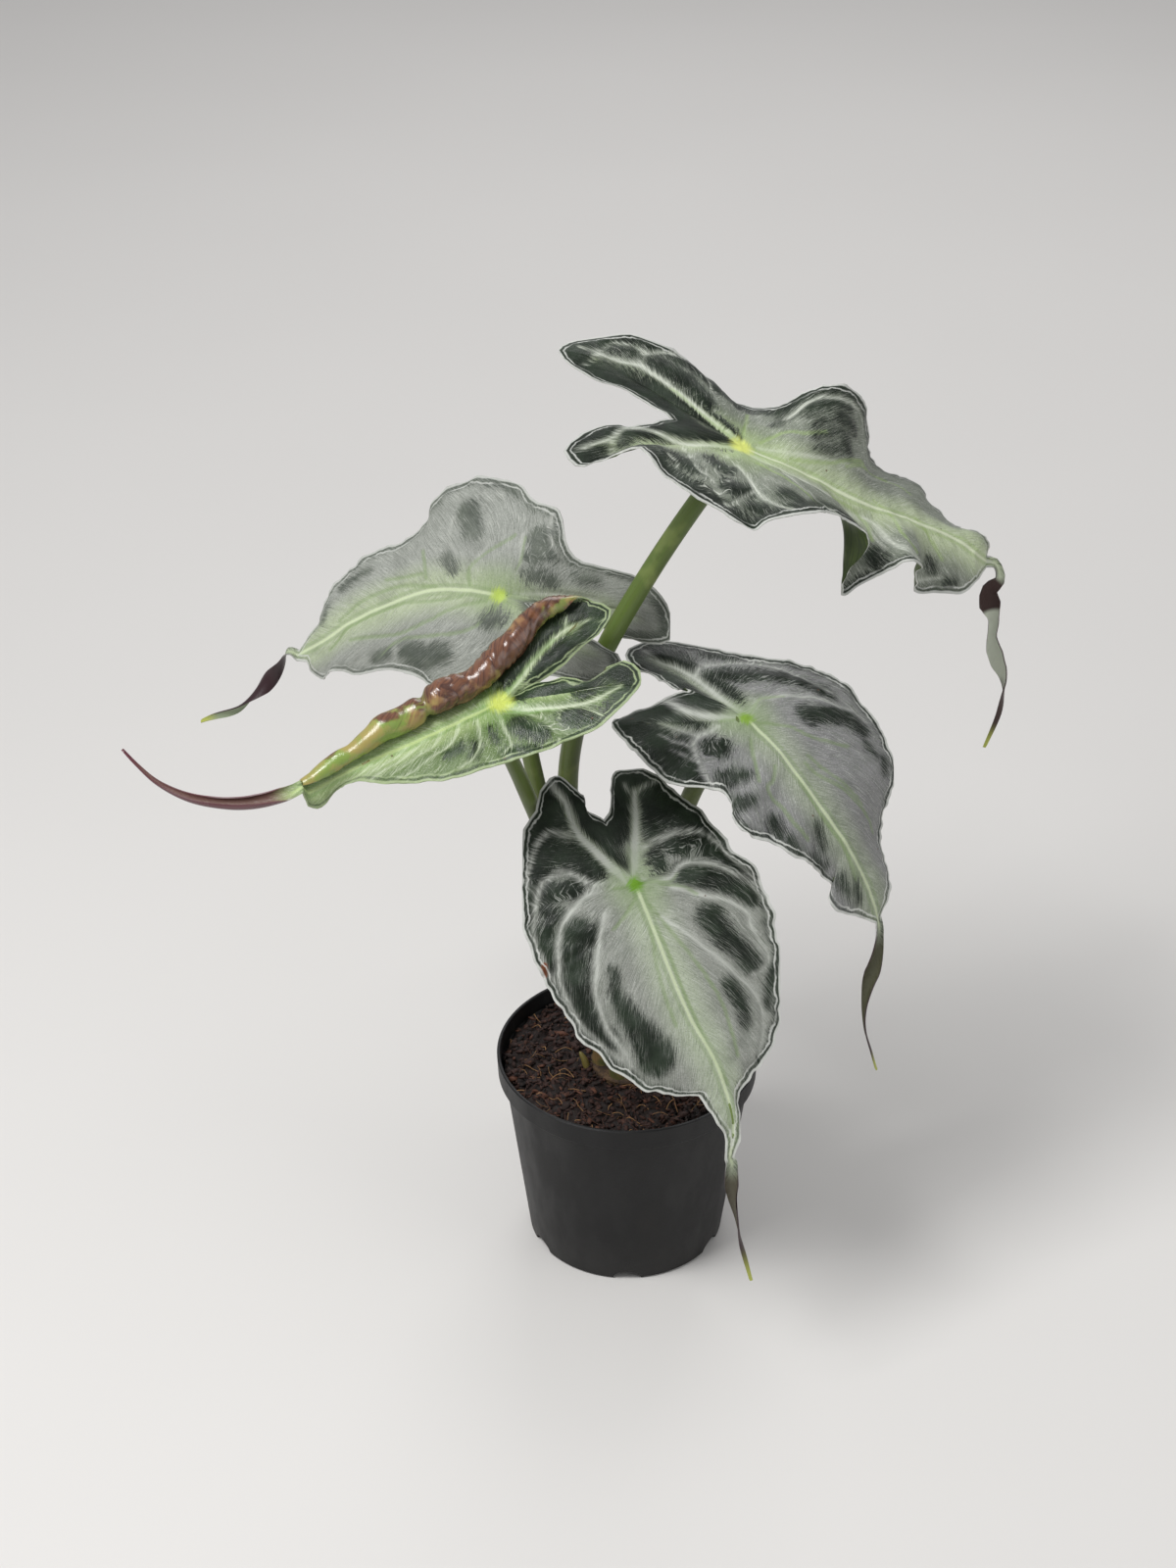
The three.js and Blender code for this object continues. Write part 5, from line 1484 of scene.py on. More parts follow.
def finished(
    bm: Mesh, name: str, materials: Sequence[Material], nodes: Sequence[str] = ()
) -> Piece:
    """Makes a mesh a dressed piece of the plant, in metres.

    Args:
        bm: The mesh in millimetres, freed here.
        name: The piece's name.
        materials: Its materials.
        nodes: The CAD nodes that it stands for.

    Returns:
        The piece.
    """
    bmesh.ops.scale(bm, vec=(MM, MM, MM), verts=bm.verts)
    piece = placed(bm, name)
    piece.data.shade_smooth()
    for material in materials:
        piece.data.materials.append(material)
    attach(piece, "root")
    if nodes:
        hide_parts(*nodes)
    LOG.info("%s: %d faces", name, len(piece.data.polygons))
    return piece


def thicken(piece: Piece, thickness: float, offset: float) -> bpy.types.Modifier:
    """Gives a sheet its wall.

    Args:
        piece: The sheet.
        thickness: The wall's thickness in millimetres.
        offset: -1 for a wall below the sheet, 0 for one on both its sides.

    Returns:
        The live modifier.
    """
    wall = piece.modifiers.new("thickness", "SOLIDIFY")
    wall.thickness = thickness * MM
    wall.offset = offset
    return wall


@dataclass
class Blade:
    """One blade: a sheet with markings and relief, given its thickness by a live modifier.

    Its rows run from sinus to lobe tip, on to the shoulder, on to the drip tip, and down it. Between
    its ribs it has a share of their thickness, which spreads a few millimetres from each.
    """

    leaf: Leaf
    finish: LeafFinish
    columns: int = 40
    rows: tuple[int, int, int, int] = (20, 20, 130, 52)
    rib_thickness: float = 1.6
    web_share: float = 0.36
    rib_reach: float = 1.9
    ruffle: float = 1.0

    MARK_LIMIT = 16.0
    LOBE_OFFSET = 4.0
    LEAN_STATIONS = (0.0, 0.9, 1.1, 1.8, 2.3, 3.0)
    VEIN_LEAN = (0.6, 0.6, -0.5, 0.0, 0.9, 1.4)
    SKIN_LIFT = 0.22
    VEIN_SINK = 0.35
    LINE_SINK = 0.45
    PANEL_PUFF = 0.7
    CRINKLE = 0.45
    EDGE_REACH = 2.6
    BOX_MARGIN = 0.5

    def stations(self) -> list[float]:
        """The stations of all rows."""
        inner = [section + i / count for section, count in enumerate(self.rows) for i in range(count)]
        return [*inner, 4.0]

    def build(self) -> Piece:
        """Makes the blade.

        Returns:
            The piece that stands for the blade's node.
        """
        sheet = BladeSheet(self.leaf)
        bm = bmesh.new()
        names = "edge_mm mid_mm heart_mm pale_mm vein_mm panel_mm rust_mm tip scroll fold lift".split()
        layers = {name: bm.verts.layers.float.new(name) for name in names}
        body = bm.verts.layers.deform.verify()
        for side in Side:
            self.lay_half(bm, sheet, side, layers, body)
        close_up(bm)
        self.face_up(bm, sheet)
        self.raise_relief(bm, layers["lift"])
        for edge in bm.edges:
            edge.smooth = not edge.is_boundary
        bm.verts.layers.float.remove(bm.verts.layers.float["lift"])
        name = self.leaf.name
        materials = (self.finish.upper(), self.finish.lower(), self.finish.rim())
        piece = finished(bm, f"{name}_blade", materials, (f"blade_{name}",))
        wall = thicken(piece, self.rib_thickness, -1.0)
        wall.vertex_group = piece.vertex_groups.new(name="body").name
        wall.material_offset = 1
        wall.material_offset_rim = 2
        return piece

    def lay_half(
        self, bm: Mesh, sheet: BladeSheet, side: Side, layers: dict[str, Layer], body: Layer
    ) -> None:
        """Lays one half and writes what its markings and relief need.

        Args:
            bm: The blade's mesh.
            sheet: The blade's surface.
            side: The half.
            layers: The numbers carried by each vertex.
            body: The weights for its thickness.
        """
        shares = np.linspace(0.0, 1.0, self.columns + 1)
        stations = np.array(self.stations())
        points = np.array([sheet.row(side, station, shares) for station in stations])
        steps = np.linalg.norm(np.diff(points, axis=1), axis=2)
        mid = np.concatenate([np.zeros((len(points), 1)), np.cumsum(steps, axis=1)], axis=1)
        edge = mid[:, -1:] - mid
        margin = np.linalg.norm(np.diff(points[:, -1], axis=0), axis=1)
        arc = np.concatenate([[0.0], np.cumsum(margin)])
        lean = np.interp(stations, self.LEAN_STATIONS, self.VEIN_LEAN)[:, None]
        run = np.stack([mid / 10, (arc[:, None] - lean * mid) / 10], axis=2)
        flat = sheet.seen_flat(points)
        half = self.leaf.half(side)
        rolled = np.array([[sheet.strip_width(side, station)] for station in stations])
        wound = np.clip(1 - edge / np.maximum(rolled, 1e-6), 0, 1) * (rolled > 0)
        away = np.where(wound > 0, self.MARK_LIMIT, 0.0)
        zone = np.array([[sample(half.shade, min(station / 3, 1.0))] for station in stations])
        dark = self.drawn(sheet, self.leaf.panels, flat, self.leaf.boldness)
        numbers = {
            "edge_mm": edge,
            "mid_mm": mid + self.lobe_offset(stations),
            "rust_mm": self.drawn(sheet, self.leaf.rust, flat),
            "heart_mm": np.linalg.norm(points - sheet.heart, axis=2),
            "tip": np.broadcast_to(np.clip(stations - 3, 0, 1)[:, None], mid.shape),
            "scroll": wound,
            "fold": np.array([sheet.fold_row(side, *pair) for pair in zip(stations, wound)]),
            "pale_mm": self.drawn(sheet, self.leaf.veins, flat) - away,
            "panel_mm": np.maximum(dark, zone - edge) - away,
            "vein_mm": away - self.drawn(sheet, self.leaf.lines, flat),
        }
        numbers["lift"] = self.lifts(numbers, points, stations, arc)
        ribs = np.exp(-((mid / self.rib_reach) ** 2)) * self.rib_fade(stations)[:, None]
        weights = self.web_share + (1 - self.web_share) * ribs
        for vert, spot in lay_grid(bm, points, run).items():
            for name, values in numbers.items():
                vert[layers[name]] = float(values[spot])
            vert[body][0] = float(weights[spot])

    def drawn(
        self, sheet: BladeSheet, strokes: Sequence[Stroke], points: Array, boldness: float = 1.0
    ) -> Array:
        """How deep points lie inside any of the strokes.

        Args:
            sheet: The blade's surface.
            strokes: The strokes.
            points: The points, seen from over the blade.
            boldness: How much broader than noted the strokes are drawn.

        Returns:
            One depth in millimetres for each point.
        """
        depth = np.full(points.shape[:-1], -self.MARK_LIMIT)
        for stroke in strokes:
            line = sheet.stroke_line(stroke)
            widths = boldness * np.linspace(stroke.width, stroke.width * stroke.taper, len(line))
            inside = inside_by(line, widths, points.reshape(-1, 2))
            depth = np.maximum(depth, inside.reshape(depth.shape))
        return depth

    def lobe_offset(self, stations: Array) -> Array:
        """How much further from the midrib the lobes count, so that no ridge is painted on them."""
        return self.LOBE_OFFSET * np.clip((2 - stations[:, None]) / 0.15, 0, 1)

    def rib_fade(self, stations: Array) -> Array:
        """How much of the ribs' thickness is left at each station."""
        lobes = np.clip(2.4 * np.abs(stations - 1) - 1.4, 0, 1)
        return np.where(stations < 2, lobes, np.clip((3.05 - stations) / 1.05, 0, 1))

    def lifts(self, numbers: dict[str, Array], points: Array, stations: Array, arc: Array) -> Array:
        """How far the skin stands off the smooth sheet: sunken veins, puffed panels, waved edge.

        Args:
            numbers: What each vertex carries.
            points: The sheet's points.
            stations: The rows' stations.
            arc: The rows' places along the margin.

        Returns:
            Millimetres for each vertex.
        """
        veins = np.clip(numbers["pale_mm"] + 1.2, 0, 2.0) * -self.VEIN_SINK
        lines = np.exp(-((numbers["vein_mm"] / 0.9) ** 2)) * -self.LINE_SINK
        panels = np.clip(numbers["panel_mm"] / 5, 0, 1) * self.PANEL_PUFF
        crinkle = np.array([noise.noise(Vector(p) * 0.16) for p in points.reshape(-1, 3)])
        edge = np.exp(-numbers["edge_mm"] / self.EDGE_REACH)
        seed = self.leaf.azimuth
        wave = [
            1.5 * noise.noise(Vector((a / 9.0, seed, 0.0))) + 0.8 * noise.noise(Vector((a / 3.2, seed, 5.0)))
            for a in arc
        ]
        quiet = np.clip((3.0 - stations) / 0.05, 0, 1)[:, None]
        beside_rib = np.clip(numbers["mid_mm"] / 4 - self.lobe_offset(stations) / 4, 0, 1)
        ruffles = edge * np.array(wave)[:, None] * self.ruffle * beside_rib
        markings = (veins + lines + panels) * beside_rib
        return self.SKIN_LIFT + quiet * (markings + crinkle.reshape(veins.shape) * self.CRINKLE + ruffles)

    def face_up(self, bm: Mesh, sheet: BladeSheet) -> None:
        """Turns the sheet's faces to its upper side.

        Args:
            bm: The blade's mesh.
            sheet: The blade's surface.
        """
        leaning = sum(face.normal.dot(Vector(sheet.up)) * face.calc_area() for face in bm.faces)
        if leaning < 0:
            bmesh.ops.reverse_faces(bm, faces=bm.faces)
        bm.normal_update()

    def raise_relief(self, bm: Mesh, lift: Layer) -> None:
        """Moves each vertex along its normal, inside the CAD node's box.

        Args:
            bm: The blade's mesh.
            lift: How far each vertex moves.
        """
        low, high = (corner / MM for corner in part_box(f"blade_{self.leaf.name}"))
        for vert in bm.verts:
            moved = vert.co + vert.normal * vert[lift]
            limits = zip(moved, low, high)
            vert.co = [min(max(c, a + self.BOX_MARGIN), b - self.BOX_MARGIN) for c, a, b in limits]


@dataclass(frozen=True)
class StalkFinish:
    """The smooth green skin of the stalks."""

    name: str
    low: Colour
    high: Colour
    scar: Colour = paint(92, 74, 48)

    def skin(self) -> Material:
        """Green with fine lengthwise lines and a few darker flecks."""
        recipe = Recipe(self.name)
        height = recipe.part(2)
        lines = recipe.noise(1.0, 4.0, 0.6, recipe.run(16.0, 0.35))
        flecks = recipe.noise(1.0, 2.0, 0.5, recipe.run(9.0, 2.2))
        cloud = recipe.noise(60.0, 3.0)
        colour = recipe.glaze(
            self.low,
            (height, 0.1, 0.34, self.high),
            (lines, 0.4, 0.65, self.low, 0.35),
            (flecks, 0.62, 0.7, paint(66, 84, 34), 0.35),
            (cloud, 0.55, 0.72, paint(150, 160, 92), 0.3),
            (height, 0.112, 0.092, self.scar, 0.7),
        )
        relief = recipe.sum(lines, recipe.noise(1400.0, 2.0), 0.4)
        return recipe.finish(colour, recipe.fade(cloud, 0.3, 0.7, 0.34, 0.46), relief, 0.15)

    def papery(self) -> Material:
        """The dry sheath at a stalk's foot."""
        recipe = Recipe(f"{self.name}_sheath")
        lines = recipe.noise(1.0, 5.0, 0.65, recipe.run(14.0, 0.5))
        tan = (recipe.noise(150.0, 4.0), 0.4, 0.62, paint(128, 104, 66))
        colour = recipe.glaze(self.low, tan, (lines, 0.42, 0.66, self.scar, 0.6))
        return recipe.finish(colour, 0.58, lines, 0.25)


@dataclass
class Stalk:
    """One stalk from its upright foot in the corm, with the sheath that wraps that foot."""

    leaf: Leaf
    finish: StalkFinish
    sides: int = 28
    rows: int = 110
    foot_ring: float = 10.6
    bottom: float = 86.0
    top_of_foot: float = 100.0
    sheath_length: float = 44.0
    sheath_wall: float = 0.45

    def centre(self) -> SmoothLine:
        """Draws the stalk's centre line, on past the heart of the blade.

        Returns:
            The line.
        """
        angle = math.radians(self.leaf.stem.foot_angle)
        x, y = self.foot_ring * math.cos(angle), self.foot_ring * math.sin(angle)
        middle = (self.bottom + self.top_of_foot) / 2
        points = [(x, y, self.bottom), (x, y, middle), (x, y, self.top_of_foot)]
        points += [*self.leaf.stem.line, self.leaf.heart]
        arrival = np.subtract(points[-1], points[-2])
        points.append(tuple(np.array(points[-1]) + arrival / np.linalg.norm(arrival) * 5))
        return SmoothLine(points)

    def skin(self, reach: float, spread: Sequence[float], bulge: float) -> tuple[Array, Array]:
        """Rows of points round the stalk.

        Args:
            reach: How far up the skin goes, as a share of the stalk.
            spread: How far round it goes from foot to top, as shares of the whole.
            bulge: How far it stands off the stalk's own skin.

        Returns:
            The points and their map.
        """
        centre = self.centre()
        side = np.array([1.0, 0.0, 0.0])
        outward = math.radians(self.leaf.stem.foot_angle)
        stem = self.leaf.stem
        points, run = [], []
        for row in range(self.rows + 1):
            share = reach * row / self.rows
            tangent = centre.tangent(share)
            side = square_to(side, tangent)
            other = np.cross(tangent, side)
            radius = mix(stem.foot, stem.top, share) * (1 + 0.16 * math.exp(-share / 0.05)) + bulge
            turns = np.linspace(-0.5, 0.5, self.sides + 1) * sample(spread, row / self.rows)
            angles = turns * 2 * math.pi + outward
            points.append(centre.point(share) + ring(side, other, angles) * radius)
            length = share * centre.lengths[-1]
            run.append([(turn * 2 * math.pi * radius / 10, length / 10) for turn in turns])
        return np.array(points), np.array(run)

    def build(self) -> Piece:
        """Makes the stalk, cut off under its blade.

        Returns:
            The piece that stands for the stalk's node.
        """
        bm = bmesh.new()
        points, run = self.skin(1.0, (1.0, 1.0), 0.0)
        lay_grid(bm, points, run)
        close_up(bm)
        sheet = BladeSheet(self.leaf)
        under = Vector(sheet.heart - sheet.up * 0.9)
        geometry = [*bm.verts, *bm.edges, *bm.faces]
        bmesh.ops.bisect_plane(
            bm, geom=geometry, dist=1e-4, plane_co=under, plane_no=Vector(sheet.up), clear_outer=True
        )
        bmesh.ops.holes_fill(bm, edges=[edge for edge in bm.edges if edge.is_boundary])
        bmesh.ops.recalc_face_normals(bm, faces=bm.faces)
        name = self.leaf.name
        return finished(bm, f"{name}_stalk", (self.finish.skin(),), (f"stalk_{name}",))

    def build_sheath(self) -> Piece:
        """Makes the papery sheath that wraps the foot and runs out to a point.

        Returns:
            The sheath's piece.
        """
        bm = bmesh.new()
        reach = self.sheath_length / self.centre().lengths[-1]
        points, run = self.skin(reach, (0.93, 0.9, 0.78, 0.6, 0.42, 0.2, 0.03), 0.35)
        lay_grid(bm, points, run)
        bmesh.ops.recalc_face_normals(bm, faces=bm.faces)
        name = f"{self.leaf.name}_sheath"
        piece = finished(bm, name, (self.finish.papery(),))
        thicken(piece, self.sheath_wall, 0.0)
        return piece


@dataclass(frozen=True)
class PotFinish:
    """Black moulded plastic with a fine grain, a little dust and scuffed edges."""

    base: Colour = paint(13, 13, 14)
    dust: Colour = paint(48, 46, 43)

    def skin(self) -> Material:
        """The pot's plastic."""
        recipe = Recipe("black_plastic")
        grain = recipe.noise(1700.0, 3.0)
        cloud = recipe.noise(55.0, 5.0, 0.6, recipe.place((1.0, 1.0, 0.4)))
        scuff = recipe.noise(160.0, 3.0, 0.7, recipe.place((1.0, 1.0, 9.0)))
        low = recipe.fade(recipe.part(2), 0.03, 0.0, 0.0, 0.25)
        dust = recipe.sum(low, recipe.fade(cloud, 0.5, 0.75), 0.22)
        colour = recipe.blend(dust, self.base, self.dust)
        colour = recipe.glaze(colour, (scuff, 0.66, 0.76, self.dust, 0.3))
        rough = recipe.fade(cloud, 0.3, 0.7, 0.42, 0.6)
        return recipe.finish(colour, rough, recipe.sum(grain, scuff, 0.3), 0.12, 0.35)


@dataclass
class Pot:
    """The nursery pot: tapered wall, stepped rim band, flat base with drain notches."""

    height: float = 100.0
    rim_radius: float = 60.0
    base_radius: float = 45.5
    wall: float = 1.6
    floor: float = 2.0
    band_height: float = 11.0
    band_step: float = 2.6
    drains: int = 6
    drain_width: float = 13.0
    drain_height: float = 5.0
    drain_reach: float = 7.0

    STEPS_ROUND = 160
    CUTTER_SPARE = 4.0
    SOFT_EDGE = 0.25
    SOFT_ANGLE = 28.0

    def profile(self) -> list[tuple[float, float]]:
        """The pot's section, from the middle of its base round to the middle of its floor."""
        band = self.height - self.band_height
        shoulder = self.rim_radius - 0.8 - self.band_step
        top, rim, base = self.height, self.rim_radius, self.base_radius
        inner, foot = rim - self.wall, base - self.wall
        return [
            (0, 0), (base - 1, 0), (base, 1), (shoulder, band), (rim - 1, band), (rim - 0.5, band + 0.6),
            (rim - 0.05, top - 0.6), (rim - 0.5, top - 0.1), (inner + 0.3, top - 0.1), (inner, top - 0.5),
            (inner - 0.6, band + 2.2), (shoulder - self.wall, band - 1.4), (foot, self.floor + 1),
            (foot - 1, self.floor), (0, self.floor),
        ]

    def notch(self, turn: float) -> Piece:
        """A cutter for one drain notch.

        Args:
            turn: Its angle round the pot.

        Returns:
            The cutter, an arch that is deleted after use.
        """
        bm = bmesh.new()
        bmesh.ops.create_circle(bm, segments=48, radius=1.0, cap_ends=True)
        face = list(bm.faces)
        bmesh.ops.scale(bm, vec=(self.drain_width / 2, self.drain_height, 1), verts=bm.verts)
        bmesh.ops.rotate(bm, matrix=Matrix.Rotation(math.pi / 2, 3, "X"), verts=bm.verts)
        deep = bmesh.ops.extrude_face_region(bm, geom=face)["geom"]
        verts = [item for item in deep if isinstance(item, Vert)]
        bmesh.ops.translate(bm, vec=(0, -self.drain_reach - self.CUTTER_SPARE, 0), verts=verts)
        bmesh.ops.translate(bm, vec=(0, -(self.base_radius - self.drain_reach), 0), verts=bm.verts)
        bmesh.ops.rotate(bm, matrix=Matrix.Rotation(turn, 3, "Z"), verts=bm.verts)
        bmesh.ops.recalc_face_normals(bm, faces=bm.faces)
        return placed(bm, "notch")

    def build(self) -> Piece:
        """Makes the pot.

        Returns:
            The piece that stands for the pot's node.
        """
        bm = bmesh.new()
        lathe(bm, self.profile(), self.STEPS_ROUND)
        blank = placed(bm, "blank")
        cutters = [self.notch(2 * math.pi * i / self.drains) for i in range(self.drains)]
        for cutter in cutters:
            cut = blank.modifiers.new("cut", "BOOLEAN")
            cut.operation, cut.solver, cut.object = "DIFFERENCE", "EXACT", cutter
        bpy.context.view_layer.update()
        cut_mesh = blank.evaluated_get(bpy.context.evaluated_depsgraph_get()).to_mesh()
        bm = bmesh.new()
        bm.from_mesh(cut_mesh)
        for helper in (blank, *cutters):
            bpy.data.objects.remove(helper)
        piece = finished(bm, "nursery_pot", (PotFinish().skin(),), ("pot",))
        soften = piece.modifiers.new("soft_edges", "BEVEL")
        soften.width = self.SOFT_EDGE * MM
        soften.segments = 2
        soften.limit_method = "ANGLE"
        soften.angle_limit = math.radians(self.SOFT_ANGLE)
        soften.harden_normals = True
        return piece


@dataclass(frozen=True)
class MixFinish:
    """Moist coir, bark chips and fibres, each bit with its own tone."""

    def skin(self) -> Material:
        """Dark where moist, red-brown and straw where dry."""
        recipe = Recipe("growing_mix")
        tone = recipe.attribute("tone")
        cloud = recipe.noise(260.0, 4.0, 0.6)
        grain = recipe.noise(1500.0, 4.0, 0.65)
        colour = recipe.glaze(
            paint(18, 10, 8),
            (tone, 0.0, 0.55, paint(54, 29, 22)),
            (tone, 0.55, 0.92, paint(92, 54, 36)),
            (tone, 0.93, 1.0, paint(164, 124, 80)),
            (cloud, 0.45, 0.7, paint(26, 14, 11), 0.55),
            (grain, 0.55, 0.75, paint(140, 92, 66), 0.3),
        )
        return recipe.finish(colour, recipe.fade(cloud, 0.3, 0.7, 0.55, 0.9), grain, 0.5)


@dataclass
class GrowingMix:
    """The growing mix: one lumpy body round the corm's hole, under loose chips and fibres."""

    pot: Pot
    top: float = 91.0
    relief: float = 1.1
    hole: float = 17.3
    chips: int = 2300
    fibres: int = 210
    seed: int = 11

    HANDFULS = 20
    RINGS = 44
    STEPS_ROUND = 150
    BODY_TONE = 0.12
    FULL_TURN = 6.28
    CHIP_STRETCH = ((1.0, 2.2), (0.6, 1.1), (0.3, 0.7))
    CHIP_LEAN = {"X": 0.5, "Y": 0.4}
    FIBRE_LIMIT = 55.5
    FIBRE_ROWS = 6
    FIBRE_SIDES = 3

    def height(self, x: float, y: float) -> float:
        """The surface's height.

        Args:
            x: Its place across.
            y: Its place in depth.

        Returns:
            The height there.
        """
        lumps = (
            math.sin(0.31 * x + 1.3) * math.cos(0.27 * y - 0.4)
            + 0.6 * math.sin(0.52 * y + 0.23 * x)
            + 0.5 * math.cos(0.61 * x - 0.37 * y + 2)
        )
        return self.top + self.relief * lumps

    def spot(self, dice: random.Random) -> Vector:
        """Picks a random place on the surface.

        Args:
            dice: The scatter's dice.

        Returns:
            The place.
        """
        outer = self.pot.rim_radius - self.pot.wall - 1.6
        radius = math.sqrt(dice.uniform((self.hole - 2) ** 2, outer**2))
        angle = dice.uniform(0, 2 * math.pi)
        x, y = radius * math.cos(angle), radius * math.sin(angle)
        return Vector((x, y, self.height(x, y)))

    def build(self) -> Piece:
        """Makes the mix.

        Returns:
            The piece that stands for the soil's node.
        """
        bm = bmesh.new()
        tone = bm.verts.layers.float.new("tone")
        outer = self.pot.rim_radius - self.pot.wall - 1.9
        band = self.pot.height - self.pot.band_height
        inner = self.pot.base_radius - self.pot.wall - 0.6
        shoulder = self.pot.rim_radius - 0.8 - self.pot.band_step - self.pot.wall - 0.5
        rings = [(mix(outer, self.hole, i / self.RINGS), self.top) for i in range(self.RINGS + 1)]
        foot = [(0, self.pot.floor + 0.4), (inner - 1, self.pot.floor + 0.4), (inner, self.pot.floor + 2)]
        profile = [*foot, (shoulder, band - 2), *rings, (self.hole, 60), (0, 60)]
        lathe(bm, profile, self.STEPS_ROUND)
        for vert in bm.verts:
            vert[tone] = self.BODY_TONE
            if vert.co.z == self.top:
                lumps = noise.fractal(vert.co * 0.3, 0.7, 2.1, 4) * 0.9
                vert.co.z = self.height(vert.co.x, vert.co.y) + lumps
        dice = random.Random(self.seed)
        for part in [self.scatter(dice) for _ in range(self.HANDFULS)]:
            bm.from_mesh(part)
            bpy.data.meshes.remove(part)
        return finished(bm, "growing_mix", (MixFinish().skin(),), ("soil",))

    def scatter(self, dice: random.Random) -> bpy.types.Mesh:
        """One handful of chips and fibres.

        Args:
            dice: The scatter's own dice.

        Returns:
            Their mesh in millimetres.
        """
        bm = bmesh.new()
        tone = bm.verts.layers.float.new("tone")
        for _ in range(self.chips // self.HANDFULS):
            self.drop_chip(bm, dice, tone)
        for _ in range(self.fibres // self.HANDFULS):
            self.drop_fibre(bm, dice, tone)
        handful = bpy.data.meshes.new("handful")
        bm.to_mesh(handful)
        bm.free()
        return handful

    def drop_chip(self, bm: Mesh, dice: random.Random, tone: Layer) -> None:
        """Drops one angular chip.

        Args:
            bm: The mesh that takes it.
            dice: The scatter's dice.
            tone: The tone carried by its vertices.
        """
        size = dice.uniform(0.7, 1.35) * (1.6 if dice.random() < 0.12 else 1.0)
        stretch = [size * dice.uniform(*limits) for limits in self.CHIP_STRETCH]
        turn = Matrix.Rotation(dice.uniform(0, self.FULL_TURN), 4, "Z")
        for axis, lean in self.CHIP_LEAN.items():
            turn = turn @ Matrix.Rotation(dice.gauss(0, lean), 4, axis)
        place = self.spot(dice) + Vector((0, 0, dice.uniform(0.0, 1.5)))
        spin = Matrix.Translation(place) @ turn @ Matrix.Diagonal((*stretch, 1.0))
        chip = bmesh.ops.create_icosphere(bm, subdivisions=1, radius=1.0, matrix=spin)["verts"]
        shade = min(max(dice.gauss(0.42, 0.24), 0.0), 0.9)
        for vert in chip:
            vert.co += Vector([dice.uniform(-0.25, 0.25) * size for _ in range(3)])
            vert[tone] = shade

    def drop_fibre(self, bm: Mesh, dice: random.Random, tone: Layer) -> None:
        """Drops one curved fibre.

        Args:
            bm: The mesh that takes it.
            dice: The scatter's dice.
            tone: The tone carried by its vertices.
        """
        start = self.spot(dice)
        heading = dice.uniform(0, self.FULL_TURN)
        length = dice.uniform(3.0, 11.0)
        knots = []
        for i in range(4):
            heading += dice.uniform(-0.6, 0.6)
            lift = 1.3 + 1.4 * math.sin(math.pi * i / 3) * dice.random()
            knots.append(tuple(start + Vector((0, 0, lift))))
            start = start + Vector((math.cos(heading), math.sin(heading), 0)) * length / 3
            reach = math.hypot(start.x, start.y)
            if reach > self.FIBRE_LIMIT:
                start = start * (self.FIBRE_LIMIT / reach)
            start.z = self.height(start.x, start.y)
        line = SmoothLine(knots)
        thick = dice.uniform(0.12, 0.26)
        turns = 2 * np.pi * np.arange(self.FIBRE_SIDES + 1) / self.FIBRE_SIDES
        points = []
        for row in range(self.FIBRE_ROWS + 1):
            centre, tangent = line.point(row / self.FIBRE_ROWS), line.tangent(row / self.FIBRE_ROWS)
            side = np.cross(tangent, UP)
            side = side / max(np.linalg.norm(side), 1e-6)
            points.append(centre + ring(side, np.cross(side, tangent), turns) * thick)
        points = np.array(points)
        shade = 0.98 if dice.random() < 0.45 else dice.uniform(0.6, 0.9)
        made = list(lay_grid(bm, points, points[..., :2]))
        for vert in made:
            vert[tone] = shade
        bmesh.ops.remove_doubles(bm, verts=made, dist=0.01)


